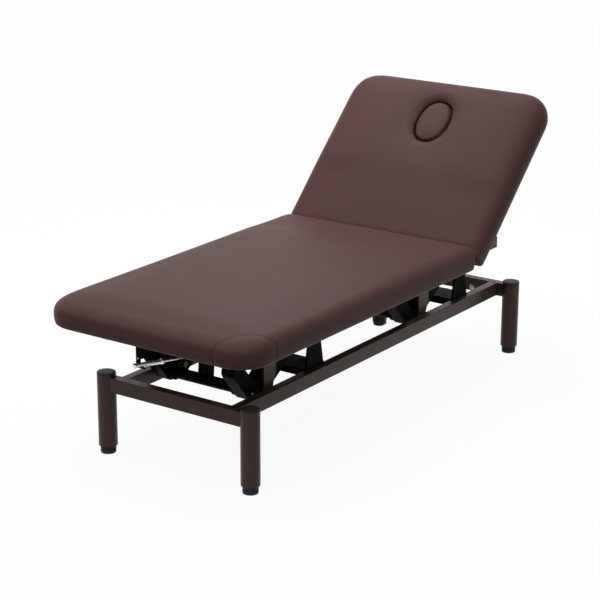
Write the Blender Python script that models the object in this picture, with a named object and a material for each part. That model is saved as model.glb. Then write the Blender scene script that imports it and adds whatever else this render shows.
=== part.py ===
"""Reclining massage bed: steel base, parallelogram lift, seat section and a back that tilts.

Metres, +Z up, +X towards the head. The model is laid out round the middle of the four legs
and moved at the end, so that its origin lies under the middle of its bounding box.
Left is -Y and right is +Y. The back is modelled lying flat and turned by its hinge empty.
"""
from math import acos, atan2, cos, degrees, hypot, pi, radians, sin

import bmesh
import bpy
from mathutils import Matrix, Vector

# Clearances
GAP = 0.0003                    # between pieces that touch
RUNNING = 0.0005                # between a bore and the pin that turns in it
SIDE_PLAY = 0.002               # beside a plate that swings past another
CUT = 0.01                      # how far a cutting tool runs past what it cuts

# Legs and levelling feet
LEG_FOOT_FROM_POST = -0.413     # from the pivot of the lift's foot posts
LEG_HEAD_FROM_POST = 0.233      # from the pivot of its head posts
LEG_PITCH_Y = 0.527
LEG_DIAMETER = 0.057
LEG_WALL = 0.002
LEG_TOP = 0.250
LEG_INSERT = 0.016              # threaded insert in the foot of each tube
CAP_RISE = 0.0045
CAP_ROUND = 0.0015
CAP_PLUG = 0.014
FOOT_DIAMETER = 0.047
FOOT_PAD = 0.011
FOOT_NECK = 0.0015
FOOT_NECK_DIAMETER = 0.040
FOOT_DISC = 0.0113
FOOT_ROUND = 0.002
FOOT_STEM_DIAMETER = 0.012
FOOT_STEM = 0.050

# Base frame
BASE_RAIL_TOP = 0.243
BASE_RAIL_HEIGHT = 0.045
BASE_RAIL_WIDTH = 0.030
BASE_RAIL_WALL = 0.002
BASE_SIDE_PITCH_Y = 0.404       # between the middles of the two side rails
END_SCREW_PITCH = 0.137
END_SCREW_HOLE = 0.006
END_SCREW_DROP = 0.018          # below the rail's top
CHANNEL_WIDTH = 0.094
CHANNEL_HEIGHT = 0.025
CHANNEL_WALL = 0.003
CHANNEL_FROM_POST = 0.017       # channel's middle, towards the head from the post's pivot

# Parallelogram lift; places in X and Z are given from the lower pivot of the hanger
LIFT_FOOT_X = -0.549            # lower pivot of the foot hangers
LIFT_PIVOT_Z = 0.248
LIFT_SET_PITCH = 0.850          # from the foot set to the head set
ARM_RUN = 0.214                 # from the hanger's pivot to the post's pivot
ARM_RISE = 0.137
ARM_THICKNESS = 0.045
ARM_OUTER_Y = 0.170
ARM_BOSS_RADIUS = 0.025
ARM_KNEE_X = 0.060
ARM_KNEE_Z = 0.087
ARM_CROTCH_X = 0.042
ARM_CROTCH_Z = 0.010
KNUCKLE_X = 0.062
KNUCKLE_DROP = 0.005
KNUCKLE_RADIUS = 0.026
CRANK_END_X = 0.1265
CRANK_END_Z = 0.070
CRANK_END_RADIUS = 0.024
TIE_PIN_X = 0.1138
TIE_PIN_Z = 0.052
TIE_PIN_DIAMETER = 0.010
TIE_PIN_REACH = 0.030
TIE_ROD_DIAMETER = 0.014
TIE_ROD_EYE_RADIUS = 0.011
PIVOT_DIAMETER = 0.020
PIVOT_HEAD_DIAMETER = 0.028
PIVOT_HEAD = 0.004
TORQUE_TUBE_DIAMETER = 0.034
TORQUE_COLLAR_DIAMETER = 0.044
TORQUE_COLLAR = 0.012
TORQUE_COLLAR_INSET = 0.006
LIFT_TRAVEL_DEGREES = 65

# Hangers and posts
HANGER_THICKNESS = 0.008
HANGER_PLAY = 0.006             # between a lift arm and its hanger
HANGER_TOP_HALF = 0.0335
HANGER_WAIST_HALF = 0.036
HANGER_WAIST_Z = 0.030
HANGER_END_RADIUS = 0.022
HANGER_FLANGE = 0.008
HANGER_TOP_INSET = 0.006        # below the seat board
POST_THICKNESS = 0.008
POST_EAR_RADIUS = 0.022
POST_WAIST_HALF = 0.031
POST_WAIST_DROP = 0.062
POST_FOOT_HALF = 0.044
POST_FILLET = 0.010
POST_OUTER_Y = 0.1975

# Lift actuator
ACTUATOR_CRANK = 0.100
ACTUATOR_CRANK_SPAN_DEGREES = 65
ACTUATOR_ROD_DIAMETER = 0.018
ACTUATOR_ROD_LENGTH = 0.222
ACTUATOR_EYE_RADIUS = 0.014
ACTUATOR_EYE_WIDTH = 0.022
ACTUATOR_PIN_DIAMETER = 0.010
ACTUATOR_LUG_THICKNESS = 0.006
ACTUATOR_LUG_RADIUS = 0.016
ACTUATOR_GUIDE_DIAMETER = 0.048
ACTUATOR_GUIDE_BORE = 0.037
ACTUATOR_GUIDE_LENGTH = 0.200
ACTUATOR_GUIDE_FROM_PIN = 0.143
ACTUATOR_TUBE_DIAMETER = 0.028
GEARBOX_LENGTH = 0.074
GEARBOX_WIDTH = 0.058
GEARBOX_HEIGHT = 0.060
GEARBOX_ROUND = 0.008
GEARBOX_FROM_HANGER = -0.009    # its foot end, from the head hanger's pivot
MOTOR_DIAMETER = 0.045
MOTOR_LENGTH = 0.150
MOTOR_CAP_DIAMETER = 0.040
MOTOR_CAP = 0.012
MOTOR_FROM_HANGER = 0.027
SADDLE_LENGTH = 0.026
SADDLE_WALL = 0.009

# Seat frame
FRAME_TOP = 0.417
FRAME_RAIL_HEIGHT = 0.038
FRAME_RAIL_WIDTH = 0.030
FRAME_RAIL_WALL = 0.002
FRAME_SIDE_PITCH_Y = 0.428
FRAME_FOOT_X = -0.802
FRAME_HEAD_FROM_SET = 0.399       # from the lift's head set, as for the next three
CROSSBAR_HEIGHT = 0.030
CROSSBAR_WIDTH = 0.030
CROSSBAR_WALL = 0.002
CROSSBAR_FOOT_X = -0.785
CROSSBAR_MIDDLE_X = -0.450
CROSSBAR_STRUT_FROM_SET = -0.181
REST_BAR_FROM_SET = 0.381
REST_BAR_HEIGHT = 0.0090
REST_BAR_PLAY = 0.003

# Cushions, boards and face hole
CUSHION_WIDTH = 0.750
CUSHION_THICKNESS = 0.083
CUSHION_EDGE = 0.036
CUSHION_CROWN = 0.004
CUSHION_TUCK = 0.009            # how far the cover draws in at the underside
CUSHION_DRAW = 0.026            # height over which it draws in
CROWN_REACH_SHARE = 0.97        # share of the half width that the crown's rows cover
CORNER_KEEP_SHARE = 0.12        # least share of a corner radius that the inner rows keep
OVAL_POWER_SHARE = 0.88         # below 1, an oval is fuller than an ellipse
CUSHION_CORNER = 0.092
CUSHION_SEAM_CORNER = 0.012
SEAT_FOOT_X = -0.9014
SEAT_END_ROUND = 0.010
SEAT_BACK_GAP = 0.002
BOARD_THICKNESS = 0.012
BOARD_INSET = 0.026
BACK_LENGTH = 0.616             # from the hinge to the head end
FACE_HOLE_FROM_HINGE = 0.445
FACE_HOLE_LENGTH = 0.168
FACE_HOLE_WIDTH = 0.126
PLUG_LEDGE = 0.008              # rim of the board that the plug rests on, round its hole
PLUG_EDGE = 0.010
PLUG_CROWN = 0.003

# Back hinge and back frame
HINGE_FROM_SET = 0.0355
HINGE_BELOW_TOP = 0.030
BACK_REST_DEGREES = 43.87
BACK_HEEL_RADIUS = 0.050
HINGE_PIN_DIAMETER = 0.010
HINGE_PIN_HEAD_DIAMETER = 0.018
HINGE_PIN_HEAD = 0.003
HINGE_EYE_RADIUS = 0.012
HINGE_EAR_THICKNESS = 0.006
HINGE_EAR_INNER_Y = 0.098
HINGE_BEAM_FROM_HINGE = 0.0205
HINGE_BEAM_WIDTH = 0.030
HINGE_BEAM_HEIGHT = 0.030
HINGE_POCKET_INNER_Y = 0.086
HINGE_POCKET_OUTER_Y = 0.123
HINGE_POCKET_FOOT = 0.045
BACK_RAIL_SIZE = 0.025
BACK_RAIL_WALL = 0.002
BACK_RAIL_INNER_Y = 0.095
BACK_RAIL_START = 0.050
BACK_RAIL_END = 0.560
BACK_ARM_REACH = 0.030
BACK_CROSSBAR_LOWER = 0.230
BACK_CROSSBAR_UPPER = 0.545

# Gas strut of the back; its ends are given from the back's hinge, lying flat
STRUT_Y = 0.070
STRUT_BASE_X = -0.1365
STRUT_BASE_Z = -0.140
STRUT_LUG_X = 0.130
STRUT_LUG_Z = -0.130
STRUT_CYLINDER_DIAMETER = 0.022
STRUT_CYLINDER_LENGTH = 0.232
STRUT_BORE = 0.0115
STRUT_ROD_DIAMETER = 0.008
STRUT_ROD_INSIDE = 0.110        # of the rod that is in the cylinder when the back is flat
STRUT_EYE_RADIUS = 0.010
STRUT_EYE_WIDTH = 0.010
STRUT_PIN_DIAMETER = 0.008
STRUT_CHEEK_THICKNESS = 0.004
STRUT_CHEEK_RADIUS = 0.011

# Release handle of the gas strut
RELEASE_BALL_X = -0.812
RELEASE_BALL_Y = 0.100
RELEASE_BALL_Z = 0.324
RELEASE_RUN_X = 0.178
RELEASE_RUN_Y = -0.050
RELEASE_RUN_Z = -0.014
RELEASE_BALL_DIAMETER = 0.015
RELEASE_GRIP_DIAMETER = 0.012
RELEASE_GRIP_END = 0.092
RELEASE_COLLAR_DIAMETER = 0.017
RELEASE_COLLAR = 0.007
RELEASE_ROD_DIAMETER = 0.006
RELEASE_PLATE_WIDTH = 0.046
RELEASE_PLATE_THICKNESS = 0.005
RELEASE_PLATE_BELOW = 0.013

# Control box under the seat board
CONTROL_LENGTH = 0.180
CONTROL_WIDTH = 0.054
CONTROL_HEIGHT = 0.062
CONTROL_ROUND = 0.006
CONTROL_X = -0.220
CONTROL_Y = 0.066
INLET_WIDTH = 0.028
INLET_HEIGHT = 0.022
INLET_DEPTH = 0.016

# Worked out from the sizes above
CUSHION_TOP = FRAME_TOP + CUSHION_THICKNESS
HINGE_Z = CUSHION_TOP - HINGE_BELOW_TOP
LEG_BOTTOM = FOOT_PAD + FOOT_NECK + FOOT_DISC + GAP
SIDE_RAIL_Y = BASE_SIDE_PITCH_Y / 2
FRAME_RAIL_Y = FRAME_SIDE_PITCH_Y / 2
FRAME_RAIL_INNER_Y = FRAME_RAIL_Y - FRAME_RAIL_WIDTH / 2
ARM_INNER_Y = ARM_OUTER_Y - ARM_THICKNESS
HANGER_INNER_Y = ARM_OUTER_Y + HANGER_PLAY
BASE_RAIL_Z = BASE_RAIL_TOP - BASE_RAIL_HEIGHT / 2
ARM_LENGTH = hypot(ARM_RUN, ARM_RISE)
ARM_ANGLE = atan2(ARM_RISE, ARM_RUN)
CRANK_START = pi / 2 + radians(ACTUATOR_CRANK_SPAN_DEGREES) / 2
CRANK_MEAN = ACTUATOR_CRANK * (1 + cos(radians(ACTUATOR_CRANK_SPAN_DEGREES) / 2)) / 2
LIFT_HEAD_X = LIFT_FOOT_X + LIFT_SET_PITCH
FRAME_HEAD_X = LIFT_HEAD_X + FRAME_HEAD_FROM_SET
CROSSBAR_STRUT_X = LIFT_HEAD_X + CROSSBAR_STRUT_FROM_SET
REST_BAR_X = LIFT_HEAD_X + REST_BAR_FROM_SET
HINGE_X = LIFT_HEAD_X + HINGE_FROM_SET
HINGE_BEAM_X = HINGE_X + HINGE_BEAM_FROM_HINGE
SEAT_HEAD_X = HINGE_X - HINGE_BELOW_TOP - SEAT_BACK_GAP
BACK_UNDER = CUSHION_THICKNESS - HINGE_BELOW_TOP
LEG_FOOT_X = LIFT_FOOT_X + ARM_RUN + LEG_FOOT_FROM_POST
LEG_HEAD_X = LIFT_HEAD_X + ARM_RUN + LEG_HEAD_FROM_POST
ENDS = (("foot", LIFT_FOOT_X), ("head", LIFT_HEAD_X))
BASE_ENDS = (("foot", -1, LEG_FOOT_X), ("head", 1, LEG_HEAD_X))
SIDES = (("left", -1), ("right", 1))

# Materials: colour, metallic, roughness
PALETTE = {
    "brown_powder_coat": ((0.050, 0.031, 0.030), 0.35, 0.45),
    "black_steel": ((0.010, 0.009, 0.008), 0.30, 0.50),
    "black_plastic": ((0.017, 0.021, 0.023), 0.00, 0.55),
    "brown_leather": ((0.115, 0.070, 0.073), 0.00, 0.50),
    "chrome": ((0.80, 0.80, 0.82), 1.00, 0.12),
    "zinc": ((0.45, 0.45, 0.46), 0.90, 0.35),
    "plywood": ((0.42, 0.27, 0.15), 0.00, 0.70),
}


def clear_scene():
    for thing in list(bpy.data.objects):
        bpy.data.objects.remove(thing, do_unlink=True)


def material(name):
    found = bpy.data.materials.get(name)
    if found:
        return found
    colour, metallic, roughness = PALETTE[name]
    made = bpy.data.materials.new(name)
    made.use_nodes = True
    shader = made.node_tree.nodes["Principled BSDF"]
    shader.inputs["Base Color"].default_value = (*colour, 1)
    shader.inputs["Metallic"].default_value = metallic
    shader.inputs["Roughness"].default_value = roughness
    return made


def empty(name, place, parent=None, turn_y=0):
    """An empty on a joint's axis; place is in the layout frame, before anything is turned."""
    made = bpy.data.objects.new(name, None)
    bpy.context.scene.collection.objects.link(made)
    made["place"] = tuple(place)
    if parent:
        made.parent = parent
        place = Vector(place) - Vector(parent["place"])
    made.location = place
    made.rotation_euler.y = turn_y
    return made


def part(name, bm, finish, parent, smooth=True):
    """Make a named object from a bmesh drawn in the layout frame, under its joint's empty."""
    bmesh.ops.recalc_face_normals(bm, faces=bm.faces)
    bmesh.ops.translate(bm, verts=bm.verts, vec=-Vector(parent["place"]))
    mesh = bpy.data.meshes.new(name)
    bm.to_mesh(mesh)
    bm.free()
    mesh.materials.append(material(finish))
    made = bpy.data.objects.new(name, mesh)
    bpy.context.scene.collection.objects.link(made)
    made.parent = parent
    if smooth:
        mesh.shade_smooth()
        mesh.set_sharp_from_angle(angle=radians(35))
    return made


def combine(target, bm, operation):
    """Cut a shape from an object, or join it on, with an exact Boolean."""
    tool = part(f"{target.name}_{operation.lower()}_{len(target.modifiers)}", bm,
                target.data.materials[0].name, target.parent, smooth=False)
    tool.hide_render = True
    tool.display_type = "WIRE"
    change = target.modifiers.new(operation.lower(), "BOOLEAN")
    change.operation = operation
    change.solver = "EXACT"
    change.object = tool
    return target


def arc(centre, radius, start, end, steps):
    """Points on an arc in the XZ plane; angles in degrees, from +X towards +Z."""
    turn = radians(end - start) / steps
    first = radians(start)
    return [(centre[0] + radius * cos(first + turn * i), centre[1] + radius * sin(first + turn * i))
            for i in range(steps + 1)]


def circle(centre, radius, steps=16):
    return arc(centre, radius, 0, 360 - 360 / steps, steps - 1)


def rectangle(u0, v0, u1, v1):
    return [(u0, v0), (u1, v0), (u1, v1), (u0, v1)]


def hull_plate(circles, steps=8):
    """Outline of a plate round two or more bosses given anticlockwise as (centre, radius)."""
    points = []
    count = len(circles)
    for i, (centre, radius) in enumerate(circles):
        before, before_radius = circles[i - 1]
        after, after_radius = circles[(i + 1) % count]
        start = tangent_angle(before, before_radius, centre, radius)
        end = tangent_angle(centre, radius, after, after_radius)
        while end <= start:
            end += 360
        points += arc(centre, radius, start, end, steps)
    return points


def tangent_angle(a, radius_a, b, radius_b):
    """Direction, in degrees, from a boss's middle to the outer tangent it shares with the next."""
    distance = hypot(b[0] - a[0], b[1] - a[1])
    along = degrees(atan2(b[1] - a[1], b[0] - a[0]))
    return along - degrees(acos((radius_a - radius_b) / distance))


def extruded(loops, axis, start, end):
    """A prism along X, Y or Z from flat closed outlines; the second and later ones are holes."""
    place = {"X": lambda u, v: (start, u, v), "Y": lambda u, v: (u, start, v),
             "Z": lambda u, v: (u, v, start)}[axis]
    bm = bmesh.new()
    edges = []
    for loop in loops:
        verts = [bm.verts.new(place(u, v)) for u, v in loop]
        edges += [bm.edges.new((verts[i - 1], verts[i])) for i in range(len(verts))]
    bmesh.ops.triangle_fill(bm, edges=edges, use_beauty=True)
    grown = bmesh.ops.extrude_face_region(bm, geom=bm.faces[:])
    verts = [item for item in grown["geom"] if isinstance(item, bmesh.types.BMVert)]
    step = {"X": (1, 0, 0), "Y": (0, 1, 0), "Z": (0, 0, 1)}[axis]
    bmesh.ops.translate(bm, verts=verts, vec=Vector(step) * (end - start))
    return bm


def block(x0, y0, z0, x1, y1, z1):
    return extruded([rectangle(x0, y0, x1, y1)], "Z", z0, z1)


def turned(profile, centre=(0, 0, 0), axis=(0, 0, 1), steps=24, ring=False):
    """A solid turned from (radius, height) points; a ring's profile is a closed loop."""
    bm = bmesh.new()
    rows = []
    for radius, height in profile:
        if radius == 0:
            rows.append([bm.verts.new((0, 0, height))])
            continue
        rows.append([bm.verts.new((radius * cos(2 * pi * i / steps), radius * sin(2 * pi * i / steps),
                                   height)) for i in range(steps)])
    pairs = list(zip(rows, rows[1:]))
    if ring:
        pairs.append((rows[-1], rows[0]))
    for low, high in pairs:
        for i in range(steps):
            corners = [low[i % len(low)], low[(i + 1) % len(low)],
                       high[(i + 1) % len(high)], high[i % len(high)]]
            bm.faces.new(list(dict.fromkeys(corners)))
    turn = Vector((0, 0, 1)).rotation_difference(Vector(axis)).to_matrix().to_4x4()
    bmesh.ops.transform(bm, matrix=Matrix.Translation(centre) @ turn, verts=bm.verts)
    return bm


def rod(start, end, diameter, steps=16):
    """A plain round bar between two points."""
    run = Vector(end) - Vector(start)
    radius = diameter / 2
    profile = [(0, 0), (radius, 0), (radius, run.length), (0, run.length)]
    return turned(profile, start, run.normalized(), steps)


def rod_y(x, z, y0, y1, diameter, steps=16):
    return rod((x, y0, z), (x, y1, z), diameter, steps)


def rectangular_tube(axis, centre, start, end, width, height, wall):
    """A hollow rail along X or Y, open at both ends."""
    across, up = centre
    outer = rectangle(across - width / 2, up - height / 2, across + width / 2, up + height / 2)
    inner = rectangle(across - width / 2 + wall, up - height / 2 + wall,
                      across + width / 2 - wall, up + height / 2 - wall)
    return extruded([outer, inner], axis, start, end)


def build_legs(bed):
    for end, _, x in BASE_ENDS:
        for side, sign in SIDES:
            build_leg(f"{end}_{side}", x, sign * LEG_PITCH_Y / 2, bed)


def build_leg(where, x, y, bed):
    outer = LEG_DIAMETER / 2
    inner = outer - LEG_WALL
    thread = FOOT_STEM_DIAMETER / 2 + GAP
    insert_top = LEG_BOTTOM + LEG_INSERT
    tube = [(thread, LEG_BOTTOM), (outer, LEG_BOTTOM), (outer, LEG_TOP), (inner, LEG_TOP),
            (inner, insert_top), (thread, insert_top)]
    part(f"leg_{where}", turned(tube, (x, y, 0), ring=True), "brown_powder_coat", bed)

    plug = inner - GAP
    seat = LEG_TOP + GAP
    crown = LEG_TOP + CAP_RISE
    cap = [(0, seat - CAP_PLUG), (plug, seat - CAP_PLUG), (plug, seat), (outer, seat),
           (outer, crown - CAP_ROUND), (outer - CAP_ROUND, crown), (0, crown)]
    part(f"leg_cap_{where}", turned(cap, (x, y, 0)), "black_plastic", bed)

    pivot = empty(f"levelling_axis_{where}", (x, y, 0), bed)
    pad = FOOT_DIAMETER / 2
    neck = FOOT_NECK_DIAMETER / 2
    stem = FOOT_STEM_DIAMETER / 2
    disc = FOOT_PAD + FOOT_NECK
    top = disc + FOOT_DISC
    foot = [(0, 0), (pad - FOOT_ROUND, 0), (pad, FOOT_ROUND), (pad, FOOT_PAD), (neck, FOOT_PAD),
            (neck, disc), (pad, disc), (pad, top), (stem, top), (stem, top + FOOT_STEM),
            (0, top + FOOT_STEM)]
    part(f"levelling_foot_{where}", turned(foot, (x, y, 0)), "black_plastic", pivot)


def build_base_frame(bed):
    inset = BASE_RAIL_WIDTH / 2 + GAP
    reach = LEG_PITCH_Y / 2
    for end, sign, x in BASE_ENDS:
        bm = rectangular_tube("Y", (x, BASE_RAIL_Z), -reach, reach, BASE_RAIL_WIDTH,
                              BASE_RAIL_HEIGHT, BASE_RAIL_WALL)
        rail = part(f"base_end_rail_{end}", bm, "brown_powder_coat", bed)
        for _, side in SIDES:
            low = (x, side * reach, BASE_RAIL_Z - BASE_RAIL_HEIGHT)
            high = (x, side * reach, BASE_RAIL_Z + BASE_RAIL_HEIGHT)
            combine(rail, rod(low, high, LEG_DIAMETER + 2 * GAP, 24), "DIFFERENCE")
        for step in (-1, 0, 1):
            outside = (x + sign * BASE_RAIL_WIDTH, step * END_SCREW_PITCH, BASE_RAIL_TOP - END_SCREW_DROP)
            inside = (x, step * END_SCREW_PITCH, BASE_RAIL_TOP - END_SCREW_DROP)
            combine(rail, rod(inside, outside, END_SCREW_HOLE, 12), "DIFFERENCE")
    for side, sign in SIDES:
        bm = rectangular_tube("X", (sign * SIDE_RAIL_Y, BASE_RAIL_Z), LEG_FOOT_X + inset,
                              LEG_HEAD_X - inset, BASE_RAIL_WIDTH, BASE_RAIL_HEIGHT, BASE_RAIL_WALL)
        part(f"base_side_rail_{side}", bm, "brown_powder_coat", bed)
    reach = SIDE_RAIL_Y - BASE_RAIL_WIDTH / 2 - GAP
    for end, hanger_x in ENDS:
        middle = hanger_x + ARM_RUN + CHANNEL_FROM_POST
        x0 = middle - CHANNEL_WIDTH / 2
        x1 = middle + CHANNEL_WIDTH / 2
        low = BASE_RAIL_TOP - CHANNEL_HEIGHT
        under = BASE_RAIL_TOP - CHANNEL_WALL
        section = [(x0, low), (x0 + CHANNEL_WALL, low), (x0 + CHANNEL_WALL, under),
                   (x1 - CHANNEL_WALL, under), (x1 - CHANNEL_WALL, low), (x1, low),
                   (x1, BASE_RAIL_TOP), (x0, BASE_RAIL_TOP)]
        part(f"base_channel_{end}", extruded([section], "Y", -reach, reach), "black_steel", bed)


def build_posts(bed):
    """Posts on the base side rails; each carries a stub axle for its lift arm."""
    for end, hanger_x in ENDS:
        for side, sign in SIDES:
            pivot = (hanger_x + ARM_RUN, LIFT_PIVOT_Z + ARM_RISE)
            foot = BASE_RAIL_TOP + GAP
            waist = pivot[1] - POST_WAIST_DROP
            half = POST_FOOT_HALF
            outline = [(pivot[0] - POST_WAIST_HALF, waist)]
            outline += arc((pivot[0] - half - POST_FILLET, foot + POST_FILLET), POST_FILLET, 0, -90, 4)
            outline += arc((pivot[0] + half + POST_FILLET, foot + POST_FILLET), POST_FILLET, 270, 180, 4)
            outline += [(pivot[0] + POST_WAIST_HALF, waist)]
            outline += arc(pivot, POST_EAR_RADIUS, 10, 170, 12)
            y0 = sign * POST_OUTER_Y
            y1 = sign * (POST_OUTER_Y - POST_THICKNESS)
            post = part(f"arm_post_{end}_{side}", extruded([outline], "Y", y0, y1), "black_steel", bed)
            inner = sign * (ARM_INNER_Y - SIDE_PLAY)
            combine(post, rod_y(*pivot, sign * (POST_OUTER_Y - POST_THICKNESS / 2), inner, PIVOT_DIAMETER),
                    "UNION")


def arm_outline(hanger_x):
    """The V of a lift arm: knuckle, hanger boss, post boss, knee, crotch and crank end."""
    def at(dx, dz):
        return (hanger_x + dx, LIFT_PIVOT_Z + dz)
    crank_direction = degrees(atan2(CRANK_END_Z + KNUCKLE_DROP, KNUCKLE_X - CRANK_END_X))
    arm_direction = degrees(ARM_ANGLE)
    knuckle = at(-KNUCKLE_X, -KNUCKLE_DROP)
    outline = arc(knuckle, KNUCKLE_RADIUS, crank_direction + 90, 270, 4)
    outline += arc(at(0, 0), ARM_BOSS_RADIUS, 270, 270 + arm_direction, 3)
    outline += arc(at(ARM_RUN, ARM_RISE), ARM_BOSS_RADIUS, arm_direction - 90, arm_direction + 90, 8)
    outline += [at(ARM_KNEE_X, ARM_KNEE_Z), at(-ARM_CROTCH_X, ARM_CROTCH_Z)]
    outline += arc(at(-CRANK_END_X, CRANK_END_Z), CRANK_END_RADIUS,
                   crank_direction - 90, crank_direction + 90, 8)
    return outline


def build_lift_arm(end, hanger_x, pivot):
    """Two V-shaped boxes on one torque tube; the foot arm also carries the actuator's lugs."""
    knuckle = (hanger_x - KNUCKLE_X, LIFT_PIVOT_Z - KNUCKLE_DROP)
    bores = [((hanger_x, LIFT_PIVOT_Z), PIVOT_DIAMETER),
             ((hanger_x + ARM_RUN, LIFT_PIVOT_Z + ARM_RISE), PIVOT_DIAMETER),
             ((hanger_x - TIE_PIN_X, LIFT_PIVOT_Z + TIE_PIN_Z), TIE_PIN_DIAMETER)]
    holes = [circle(centre, diameter / 2 + RUNNING) for centre, diameter in bores]
    loops = [arm_outline(hanger_x)] + holes
    arm = part(f"lift_arm_{end}", extruded(loops, "Y", -ARM_OUTER_Y, -ARM_INNER_Y), "black_steel", pivot)
    combine(arm, extruded(loops, "Y", ARM_INNER_Y, ARM_OUTER_Y), "UNION")
    tube = TORQUE_TUBE_DIAMETER / 2
    collar = TORQUE_COLLAR_DIAMETER / 2
    weld = ARM_INNER_Y + ARM_THICKNESS / 4
    start = ARM_INNER_Y - TORQUE_COLLAR_INSET
    stop = start - TORQUE_COLLAR
    profile = [(0, -weld), (tube, -weld), (tube, -start), (collar, -start), (collar, -stop), (tube, -stop),
               (tube, stop), (collar, stop), (collar, start), (tube, start), (tube, weld), (0, weld)]
    combine(arm, turned(profile, (knuckle[0], 0, knuckle[1]), (0, 1, 0), 20), "UNION")
    if end == "foot":
        pin = actuator_pin_place()
        hole = circle(pin, ACTUATOR_PIN_DIAMETER / 2 + GAP)
        lug = hull_plate([(knuckle, ACTUATOR_LUG_RADIUS), (pin, ACTUATOR_LUG_RADIUS)])
        inner = ACTUATOR_EYE_WIDTH / 2 + RUNNING
        for _, sign in SIDES:
            combine(arm, extruded([lug, hole], "Y", sign * inner, sign * (inner + ACTUATOR_LUG_THICKNESS)),
                    "UNION")
        reach = inner + ACTUATOR_LUG_THICKNESS + PIVOT_HEAD
        part("actuator_pin", rod_y(*pin, -reach, reach, ACTUATOR_PIN_DIAMETER), "zinc", pivot)


def actuator_pin_place():
    return (LIFT_FOOT_X + ACTUATOR_CRANK * cos(CRANK_START),
            LIFT_PIVOT_Z + ACTUATOR_CRANK * sin(CRANK_START))


def build_tie_rods(left_pivot, right_pivot):
    """Level rods that join the cranks of the two arms, with their pins welded in."""
    x0 = LIFT_FOOT_X - TIE_PIN_X
    x1 = x0 + LIFT_SET_PITCH
    z = LIFT_PIVOT_Z + TIE_PIN_Z
    outer = ARM_INNER_Y - SIDE_PLAY
    inner = outer - TIE_ROD_DIAMETER
    for (side, sign), pivot in zip(SIDES, (left_pivot, right_pivot)):
        y = sign * (outer + inner) / 2
        bar = part(f"tie_rod_{side}", rod((x0, y, z), (x1, y, z), TIE_ROD_DIAMETER), "black_steel", pivot)
        for x in (x0, x1):
            combine(bar, rod_y(x, z, sign * inner, sign * outer, 2 * TIE_ROD_EYE_RADIUS, 20), "UNION")
            combine(bar, rod_y(x, z, y, sign * (outer + TIE_PIN_REACH), TIE_PIN_DIAMETER), "UNION")


def build_hangers(seat):
    """Tapered plates that hang from the seat frame, with a flange to the rail and a stub axle."""
    for end, hanger_x in ENDS:
        for side, sign in SIDES:
            top = FRAME_TOP - HANGER_TOP_INSET
            waist = LIFT_PIVOT_Z + HANGER_WAIST_Z
            outline = [(hanger_x - HANGER_TOP_HALF, top)]
            outline += arc((hanger_x, LIFT_PIVOT_Z), HANGER_END_RADIUS, 180, 360, 12)
            outline += [(hanger_x + HANGER_WAIST_HALF, waist), (hanger_x + HANGER_TOP_HALF, top)]
            y0 = sign * HANGER_INNER_Y
            y1 = sign * (HANGER_INNER_Y + HANGER_THICKNESS)
            plate = part(f"hanger_{end}_{side}", extruded([outline], "Y", y0, y1),
                         "brown_powder_coat", seat)
            middle = (y0 + y1) / 2
            flange_y = sorted((middle, sign * (FRAME_RAIL_INNER_Y - GAP)))
            half = HANGER_TOP_HALF - HANGER_FLANGE
            combine(plate, block(hanger_x - half, flange_y[0], top - 2 * HANGER_FLANGE,
                                 hanger_x + half, flange_y[1], top - HANGER_FLANGE), "UNION")
            inner = sign * (ARM_INNER_Y - SIDE_PLAY)
            combine(plate, rod_y(hanger_x, LIFT_PIVOT_Z, middle, inner, PIVOT_DIAMETER), "UNION")


def build_seat_frame(seat):
    rail_z = FRAME_TOP - FRAME_RAIL_HEIGHT / 2
    for side, sign in SIDES:
        bm = rectangular_tube("X", (sign * FRAME_RAIL_Y, rail_z), FRAME_FOOT_X, FRAME_HEAD_X,
                              FRAME_RAIL_WIDTH, FRAME_RAIL_HEIGHT, FRAME_RAIL_WALL)
        part(f"seat_frame_rail_{side}", bm, "brown_powder_coat", seat)
    reach = FRAME_RAIL_INNER_Y - GAP
    bar_z = FRAME_TOP - CROSSBAR_HEIGHT / 2
    bars = {}
    for name, x in (("foot", CROSSBAR_FOOT_X), ("middle", CROSSBAR_MIDDLE_X), ("strut", CROSSBAR_STRUT_X)):
        bm = rectangular_tube("Y", (x, bar_z), -reach, reach, CROSSBAR_WIDTH, CROSSBAR_HEIGHT,
                              CROSSBAR_WALL)
        bars[name] = part(f"seat_crossbar_{name}", bm, "black_steel", seat)
    add_strut_cheeks(bars["strut"])
    rest_top = FRAME_TOP - GAP - BACK_RAIL_SIZE - REST_BAR_PLAY
    rest = block(REST_BAR_X - CROSSBAR_WIDTH / 2, -reach, rest_top - REST_BAR_HEIGHT,
                 REST_BAR_X + CROSSBAR_WIDTH / 2, reach, rest_top)
    part("back_rest_bar", rest, "black_steel", seat)


def strut_base():
    return (HINGE_X + STRUT_BASE_X, HINGE_Z + STRUT_BASE_Z)


def add_strut_cheeks(bar):
    """Two cheeks under the crossbar that hold the lower pin of the gas strut, and the pin."""
    base = strut_base()
    low = FRAME_TOP - CROSSBAR_HEIGHT
    root = (CROSSBAR_STRUT_X, low + CROSSBAR_WALL / 2)
    sheet = hull_plate([(base, STRUT_CHEEK_RADIUS),
                        ((root[0], root[1] - STRUT_CHEEK_RADIUS), STRUT_CHEEK_RADIUS)])
    inner = STRUT_EYE_WIDTH / 2 + RUNNING
    for _, sign in SIDES:
        y0 = STRUT_Y + sign * inner
        combine(bar, extruded([sheet], "Y", y0, y0 + sign * STRUT_CHEEK_THICKNESS), "UNION")
    weld = inner + STRUT_CHEEK_THICKNESS / 2
    combine(bar, rod_y(*base, STRUT_Y - weld, STRUT_Y + weld, STRUT_PIN_DIAMETER), "UNION")


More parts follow.
